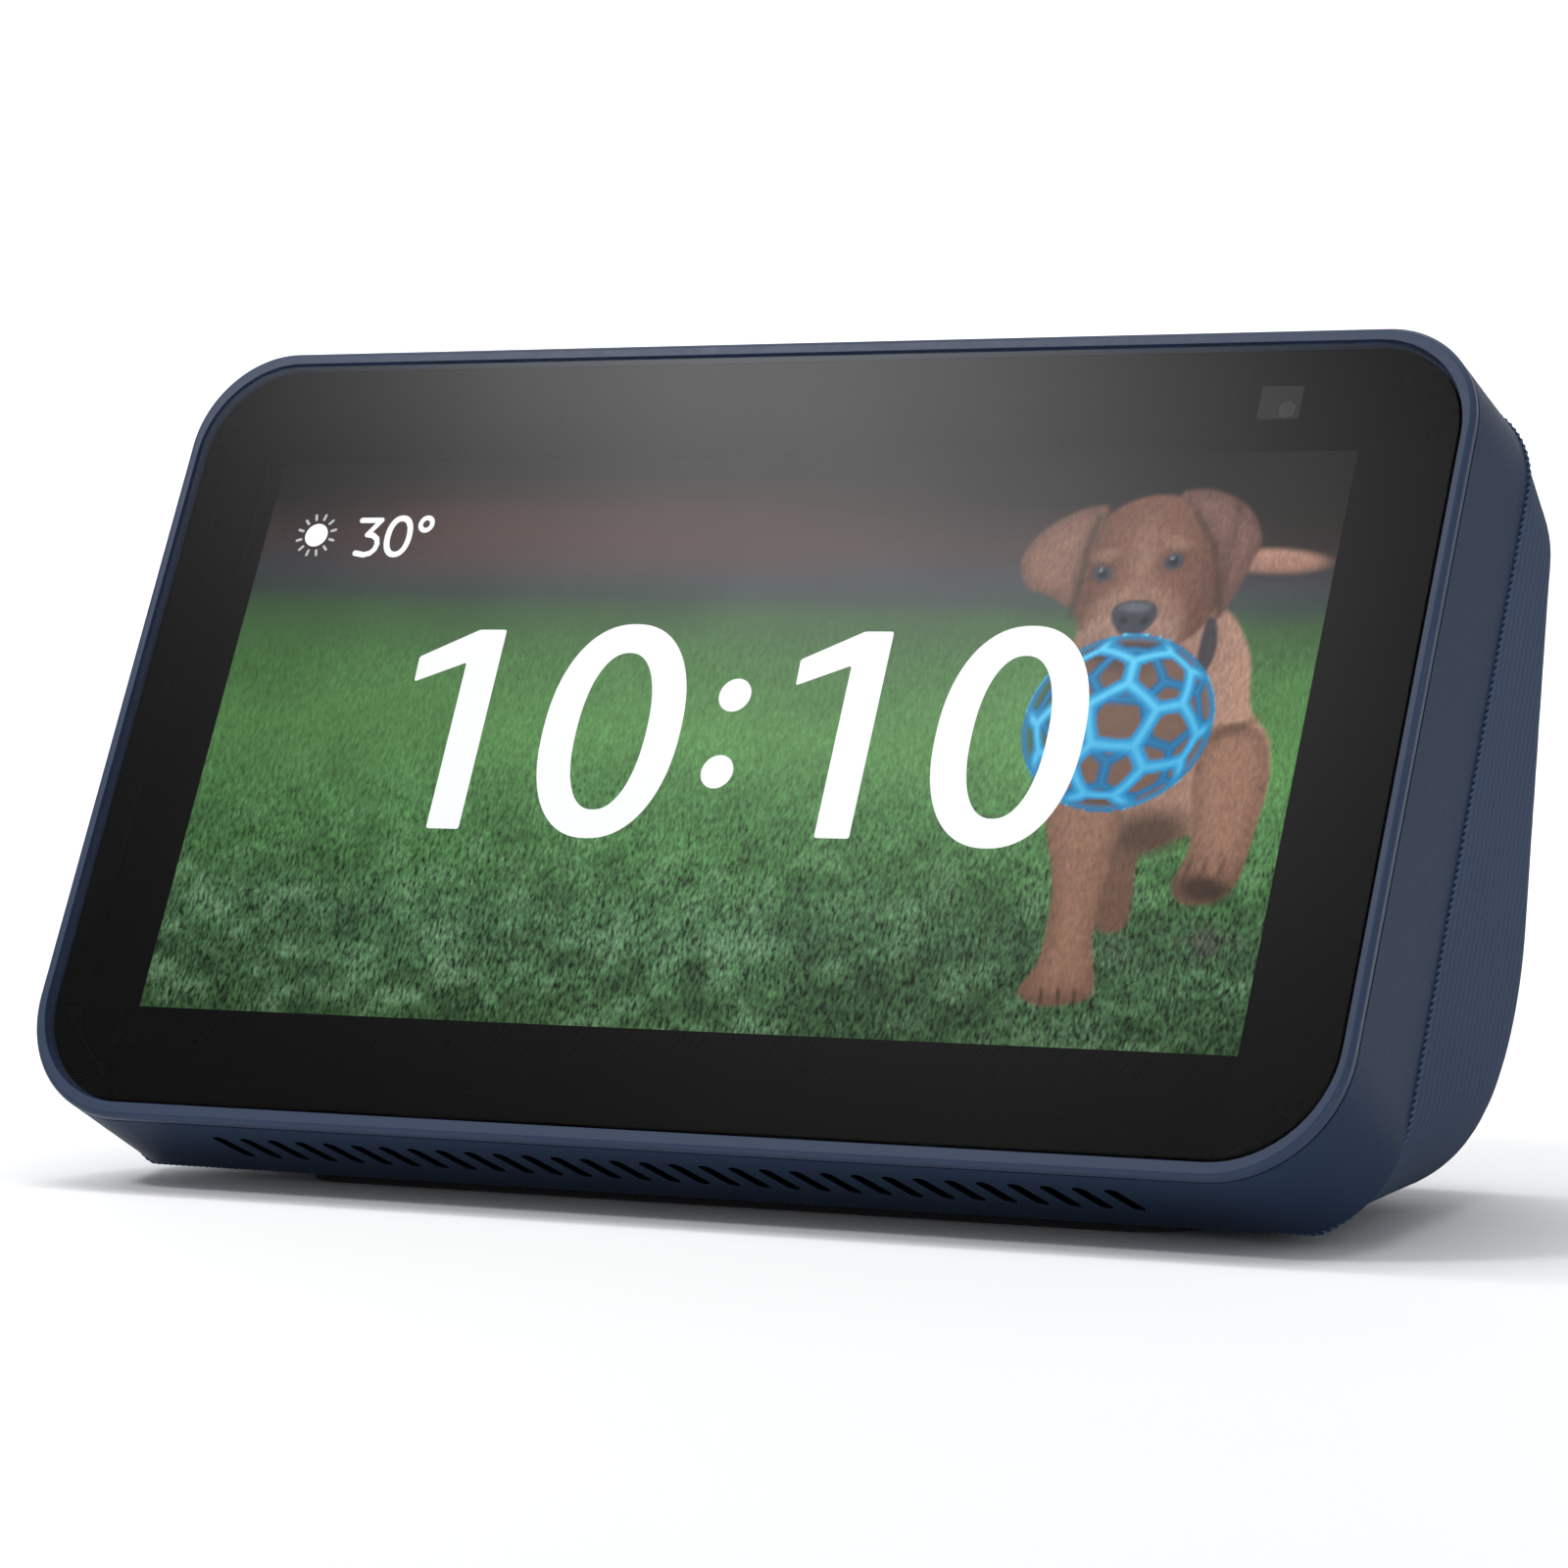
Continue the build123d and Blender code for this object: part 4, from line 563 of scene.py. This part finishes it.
def picture():
    """The lit picture: one thin sheet whose corner colours are painted, finer where the puppy is."""
    left = np.linspace(-HALF_W, 27.0, 190)[:-1]
    right = np.linspace(27.0, HALF_W, 250)
    us, ws = np.concatenate([left, right]), np.linspace(-HALF_H, HALF_H, 230)
    uu, ww = np.meshgrid(us, ws)
    u, w = uu.ravel(), ww.ravel()
    cv = Canvas(u - CONTENT_SHIFT, w)
    paint_meadow(cv)
    paint_puppy(cv)
    paint_ball(cv)
    colour = np.clip(cv.colour, 0.002, 1)
    mesh = bpy.data.meshes.new("picture")
    middle = np.array(on_picture(0, 0, PICTURE_DEPTH))
    coords = middle + np.outer(u * MM, (1, 0, 0)) + np.outer(w * MM, np.array(UP_FACE))
    columns, rows = len(us), len(ws)
    i = np.arange(columns * rows).reshape(rows, columns)
    faces = np.stack([i[:-1, :-1], i[:-1, 1:], i[1:, 1:], i[1:, :-1]], -1).reshape(-1, 4)
    mesh.from_pydata(coords.tolist(), [], faces.tolist())
    layer = mesh.color_attributes.new("paint", "FLOAT_COLOR", "POINT")
    layer.data.foreach_set("color", np.column_stack([colour, np.ones(len(u))]).astype(np.float32).ravel())
    grain = mesh.attributes.new("grain", "FLOAT", "POINT")
    grain.data.foreach_set("value", cv.grain.astype(np.float32))
    mesh.materials.append(picture_material())
    piece = bpy.data.objects.new("picture", mesh)
    bpy.context.scene.collection.objects.link(piece)
    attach(piece, "housing")


# ---------------------------------------------------------------- clock and weather, thin lit plates
def lit_material(name, strength):
    """White that glows evenly."""
    g = Graph(name)
    tone = g.blend(g.noise(700, 2), (0.96, 0.96, 0.97), (1, 1, 1))
    return g.finish(g.node("ShaderNodeEmission", {"Color": tone, "Strength": strength}).outputs[0])


def plates(name, outlines, material, depth=LIT_DEPTH, thickness=0.01):
    """Thin plates on the picture; each outline is an outer loop with its holes."""
    bm = bmesh.new()
    for loops in outlines:
        edges = []
        for loop in loops:
            corners = [bm.verts.new(on_picture(u + CONTENT_SHIFT, w, depth)) for u, w in loop]
            edges += [bm.edges.new((a, b)) for a, b in zip(corners, corners[1:] + corners[:1])]
        bmesh.ops.triangle_fill(bm, edges=edges, use_beauty=True, use_dissolve=False)
    made = bmesh.ops.extrude_face_region(bm, geom=bm.faces[:])
    moved = [v for v in made["geom"] if isinstance(v, bmesh.types.BMVert)]
    bmesh.ops.translate(bm, verts=moved, vec=INTO_FACE * thickness * MM)
    bmesh.ops.recalc_face_normals(bm, faces=bm.faces[:])
    mesh = bpy.data.meshes.new(name)
    bm.to_mesh(mesh)
    bm.free()
    mesh.materials.append(material)
    piece = bpy.data.objects.new(name, mesh)
    bpy.context.scene.collection.objects.link(piece)
    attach(piece, "housing")
    return piece


def ring(centre, radii, power=2.0, count=72):
    """Closed loop of a rounded oval; a higher power makes it squarer."""
    loop = []
    for k in range(count):
        a = 2 * math.pi * k / count
        c, s = math.cos(a), math.sin(a)
        loop.append((centre[0] + radii[0] * math.copysign(abs(c) ** (2 / power), c),
                     centre[1] + radii[1] * math.copysign(abs(s) ** (2 / power), s)))
    return loop


def rounded(corners, radius, steps=5):
    """Closed loop with its corners rounded."""
    out = []
    for i, p in enumerate(corners):
        p, before, after = Vector(p), Vector(corners[i - 1]), Vector(corners[(i + 1) % len(corners)])
        a, b = (before - p).normalized(), (after - p).normalized()
        start, end = p + a * radius, p + b * radius
        for k in range(steps + 1):
            t = k / steps
            q = start * (1 - t) ** 2 + p * 2 * t * (1 - t) + end * t * t
            out.append((q.x, q.y))
    return out


def rounded_box(centre, size, radius):
    """Closed loop of a rectangle with rounded corners."""
    x, y = size[0] / 2, size[1] / 2
    signs = ((-1, -1), (1, -1), (1, 1), (-1, 1))
    return rounded([(centre[0] + x * a, centre[1] + y * b) for a, b in signs], radius)


def stroke(points, width):
    """Outline of a line of even width with round ends."""
    path = [Vector(p) for p in points]
    left, right = [], []
    for i, p in enumerate(path):
        along = (path[min(i + 1, len(path) - 1)] - path[max(i - 1, 0)]).normalized()
        side = Vector((-along.y, along.x)) * width / 2
        left.append(p + side)
        right.append(p - side)
    caps = []
    for p, side_point in ((path[-1], left[-1]), (path[0], right[0])):
        start = math.atan2((side_point - p).y, (side_point - p).x)
        turns = [start - math.pi * k / 8 for k in range(1, 8)]
        caps.append([p + Vector((math.cos(turn), math.sin(turn))) * width / 2 for turn in turns])
    loop = left + caps[0] + right[::-1] + caps[1]
    return [(q.x, q.y) for q in loop]


def one(shift):
    """Outline of the digit one, moved right by shift."""
    corners = [(-37.8, 5.8), (-37.9, 8.6), (-31.3, 11.7), (-28.1, 11.7), (-27.95, -10.45),
               (-31.85, -10.45), (-32.0, 8.0)]
    return [rounded([(u + shift, w) for u, w in corners], 0.3)]


def zero(centre):
    """Outline and hole of the digit zero round a place across the picture."""
    return [ring((centre, 0.65), (8.05, 11.75), 2.25), ring((centre, 0.6), (4.1, 8.6), 2.25)]


def clock():
    """Time, temperature and sun sign; each piece lies a hair deeper than the one before it."""
    white = lit_material("clock", 1.05)
    dots = [[ring((0.6, 4.67), (1.82, 1.8))], [ring((0.6, -3.64), (1.82, 1.8))]]
    plates("clock_digits", [one(0.0), zero(-12.75), one(45.05), zero(32.15), *dots], white)
    arc = [(-48.35, 22.6), (-47.6, 22.5), (-47.05, 22.1), (-46.85, 21.5), (-47.0, 20.9),
           (-47.45, 20.45), (-48.2, 20.25), (-49.3, 20.45)]
    top_bar = [stroke([(-49.45, 24.25), (-47.0, 24.25)], 0.62)]
    slant = [stroke([(-47.05, 24.2), (-48.35, 22.6)], 0.6)]
    nought = [[ring((-44.42, 22.38), (1.68, 2.42), 2.2), ring((-44.4, 22.36), (0.98, 1.75), 2.2)]]
    degree = [[ring((-41.3, 23.78), (0.98, 1.0)), ring((-41.3, 23.78), (0.42, 0.44))]]
    plates("weather_digits", [top_bar] + nought + degree, white, depth=LIT_DEPTH + 0.001)
    plates("weather_digit_strokes", [slant], white, depth=LIT_DEPTH + 0.002)
    plates("weather_digit_arc", [[stroke(arc, 0.64)]], white, depth=LIT_DEPTH + 0.003)
    sun = (-54.8, 22.56)
    rays = []
    for k in range(12):
        a = 2 * math.pi * (k + 0.5) / 12
        c, s = math.cos(a), math.sin(a)
        rays.append([stroke([(sun[0] + reach * c, sun[1] + reach * s) for reach in (1.86, 2.38)], 0.3)])
    plates("weather_sun", [[ring(sun, (1.4, 1.32))]], white, depth=LIT_DEPTH + 0.004)
    plates("weather_sun_rays", rays, lit_material("sun_rays", 0.55), depth=LIT_DEPTH + 0.005)


def camera_window():
    """Smoked window in the mask over the camera, with the lens and its ring drawn on it."""
    smoke = surface("camera_window", "0e0e0e", 0.4, grain=1200, specular=0.08)
    place = (52.85 - CONTENT_SHIFT, 79.8 - PICTURE_V)
    outline = rounded_box(place, (4.44, 3.54), 0.3)
    window = plates("camera_window", [[outline]], smoke, depth=LIT_DEPTH + 0.02, thickness=0.05)
    lens = (53.7 - CONTENT_SHIFT, 79.0 - PICTURE_V)
    rim = surface("camera_ring", "302725", 0.45, specular=0.15)
    loops = [ring(lens, (0.85, 0.85)), ring(lens, (0.6, 0.6))]
    ring_piece = plates("camera_ring", [loops], rim, depth=LIT_DEPTH + 0.005)
    glint = surface("camera_glint", "0c0f12", 0.4, specular=0.15)
    pupil = plates("camera_pupil", [[ring(lens, (0.58, 0.58))]], glint, depth=LIT_DEPTH + 0.006)


def hull(points):
    """Outline round the points, anticlockwise."""
    pts = sorted(set((round(x, 7), round(y, 7)) for x, y in points))
    chains = []
    for run in (pts, pts[::-1]):
        chain = []
        for p in run:
            while len(chain) > 1 and ((chain[-1][0] - chain[-2][0]) * (p[1] - chain[-2][1])
                                      - (chain[-1][1] - chain[-2][1]) * (p[0] - chain[-2][0])) <= 0:
                chain.pop()
            chain.append(p)
        chains.append(chain[:-1])
    return np.array(chains[0] + chains[1])


def stitched_edge():
    """Ribbed edge of the knit where it meets the front shell, following the shell's outline."""
    cover = frame["nodes"]["fabric_cover"]
    points = [cover.matrix_world @ corner.co for corner in cover.data.vertices]
    depths = [(p - PANEL).dot(INTO_FACE) for p in points]
    edge_depth = min(depths)
    flat = [(p.x - PANEL.x, (p - PANEL).dot(UP_FACE)) for p, d in zip(points, depths)
            if d < edge_depth + EDGE_BAND * MM]
    outline = hull(flat)
    steps = np.linalg.norm(np.roll(outline, -1, 0) - outline, axis=1)
    run = np.concatenate([[0], np.cumsum(steps)])
    closed = np.vstack([outline, outline[:1]])
    count = 2 * int(run[-1] / (RIB_PITCH * MM))
    at = np.arange(count) * run[-1] / count
    path = np.column_stack([np.interp(at, run, closed[:, k]) for k in (0, 1)])
    along = np.roll(path, -1, 0) - np.roll(path, 1, 0)
    along /= np.linalg.norm(along, axis=1)[:, None]
    bm = bmesh.new()
    rings = []
    for i in range(count):
        radius = RIB_RADII[i % 2] * MM
        outward = Vector((along[i, 1], 0, 0)) - UP_FACE * along[i, 0]
        lean = Vector((along[i, 0], 0, 0)) + UP_FACE * along[i, 1]
        heart = PANEL + Vector((path[i, 0], 0, 0)) + UP_FACE * path[i, 1] + INTO_FACE * edge_depth
        rings.append([])
        for k in range(RIB_SIDES):
            turn = 2 * math.pi * k / RIB_SIDES
            offset = outward * math.cos(turn) * radius
            offset += INTO_FACE * (math.sin(turn) * radius + RIB_SETBACK * MM)
            offset += lean * math.sin(turn) * RIB_LEAN * MM
            rings[i].append(bm.verts.new(heart + offset))
    for i in range(count):
        for k in range(RIB_SIDES):
            after, beside = rings[(i + 1) % count], (k + 1) % RIB_SIDES
            bm.faces.new((rings[i][k], rings[i][beside], after[beside], after[k])).smooth = True
    bmesh.ops.recalc_face_normals(bm, faces=bm.faces[:])
    mesh = bpy.data.meshes.new("fabric_edge")
    bm.to_mesh(mesh)
    bm.free()
    # thin rings 0 and thick rings 1, where the cord's material paints shade and light
    ribs = mesh.attributes.new("rib_shade", "FLOAT", "POINT")
    ribs.data.foreach_set("value", np.repeat(np.arange(count) % 2, RIB_SIDES).astype(np.float32))
    mesh.materials.append(fabric_material("fabric_edge", "33435c", ribbed=True))
    piece = bpy.data.objects.new("fabric_edge", mesh)
    bpy.context.scene.collection.objects.link(piece)
    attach(piece, "housing")


picture()
clock()
camera_window()
stitched_edge()

# ---------------------------------------------------------------- floor, light and camera
def stage_floor():
    """Pale floor that curves up into a backdrop, square to the camera's direction, in metres."""
    profile = [(-3.0, 0.0), (-1.0, 0.0), (0.0, 0.0), (1.0, 0.0)]
    bend = 1.2
    profile += [(1.0 + bend * math.sin(a), bend - bend * math.cos(a))
                for a in np.linspace(0.1, math.pi / 2, 16)]
    profile += [(2.2, 3.5)]
    away = Vector((-math.sin(AZIMUTH), math.cos(AZIMUTH), 0))
    side = Vector((math.cos(AZIMUTH), math.sin(AZIMUTH), 0))
    bm = bmesh.new()
    rows = [[bm.verts.new(away * y + side * x + Vector((0, 0, z))) for x in (-5, 0, 5)] for y, z in profile]
    for near, far in zip(rows, rows[1:]):
        for k in range(2):
            bm.faces.new((near[k], near[k + 1], far[k + 1], far[k])).smooth = True
    mesh = bpy.data.meshes.new("floor")
    bm.to_mesh(mesh)
    bm.free()
    piece = bpy.data.objects.new("floor", mesh)
    bpy.context.scene.collection.objects.link(piece)
    g = Graph("floor")
    tone = g.blend(g.noise(6, 3), (0.86, 0.86, 0.86), (0.9, 0.9, 0.9))
    inputs = {"Base Color": tone, "Roughness": 0.7, "Specular IOR Level": 0.2}
    mesh.materials.append(g.finish(g.node("ShaderNodeBsdfPrincipled", inputs).outputs[0]))
    piece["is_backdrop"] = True


def softbox(name, place, target, size, power, colour=(1, 1, 1)):
    """Rectangular light at a place, turned to a target."""
    data = bpy.data.lights.new(name, "AREA")
    data.shape = "RECTANGLE"
    data.size, data.size_y = size
    data.energy = power
    data.color = colour
    lamp = bpy.data.objects.new(name, data)
    lamp.location = place
    lamp.rotation_mode = "QUATERNION"
    lamp.rotation_quaternion = (Vector(target) - Vector(place)).to_track_quat("-Z", "Y")
    bpy.context.scene.collection.objects.link(lamp)
    lamp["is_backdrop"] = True


stage_floor()
scene = bpy.context.scene
scene.view_settings.view_transform = "Standard"
world = bpy.data.worlds.new("studio")
world.use_nodes = True
world.node_tree.nodes["Background"].inputs["Color"].default_value = (0.96, 0.97, 1.0, 1)
world.node_tree.nodes["Background"].inputs["Strength"].default_value = 0.5
scene.world = world

low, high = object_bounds()
middle = (low + high) / 2
top_of_glass = on_face(-2, 84, 0)
# from the object towards the camera
level = math.cos(ELEVATION)
back = Vector((math.sin(AZIMUTH) * level, -math.cos(AZIMUTH) * level, math.sin(ELEVATION)))
# the soft light that the top of the glass mirrors towards the camera
ray = (top_of_glass - EYE).normalized()
mirrored = ray - 2 * ray.dot(INTO_FACE) * INTO_FACE
softbox("glass_glow", top_of_glass + mirrored, top_of_glass, (0.2, 0.12), 3.1)
softbox("right_fill", (0.95, -0.85, 0.1), middle, (0.5, 0.4), 3.2, (0.9, 0.95, 1.0))
softbox("top_light", (0.0, 0.2, 1.3), middle, (0.9, 0.9), 6.0)
softbox("backdrop_light", (-0.9, 0.5, 1.5), (-0.8, 2.2, 0.4), (1.6, 0.8), 30.0)

camera_data = bpy.data.cameras.new("camera")
camera_data.lens = FOCAL_PX / IMAGE_PX * SENSOR_MM
camera_data.sensor_width = SENSOR_MM
camera_data.clip_start = 0.01
camera = bpy.data.objects.new("camera", camera_data)
camera.location = EYE
camera.rotation_mode = "QUATERNION"
camera.rotation_quaternion = (-back).to_track_quat("-Z", "Y")
scene.collection.objects.link(camera)
scene.camera = camera
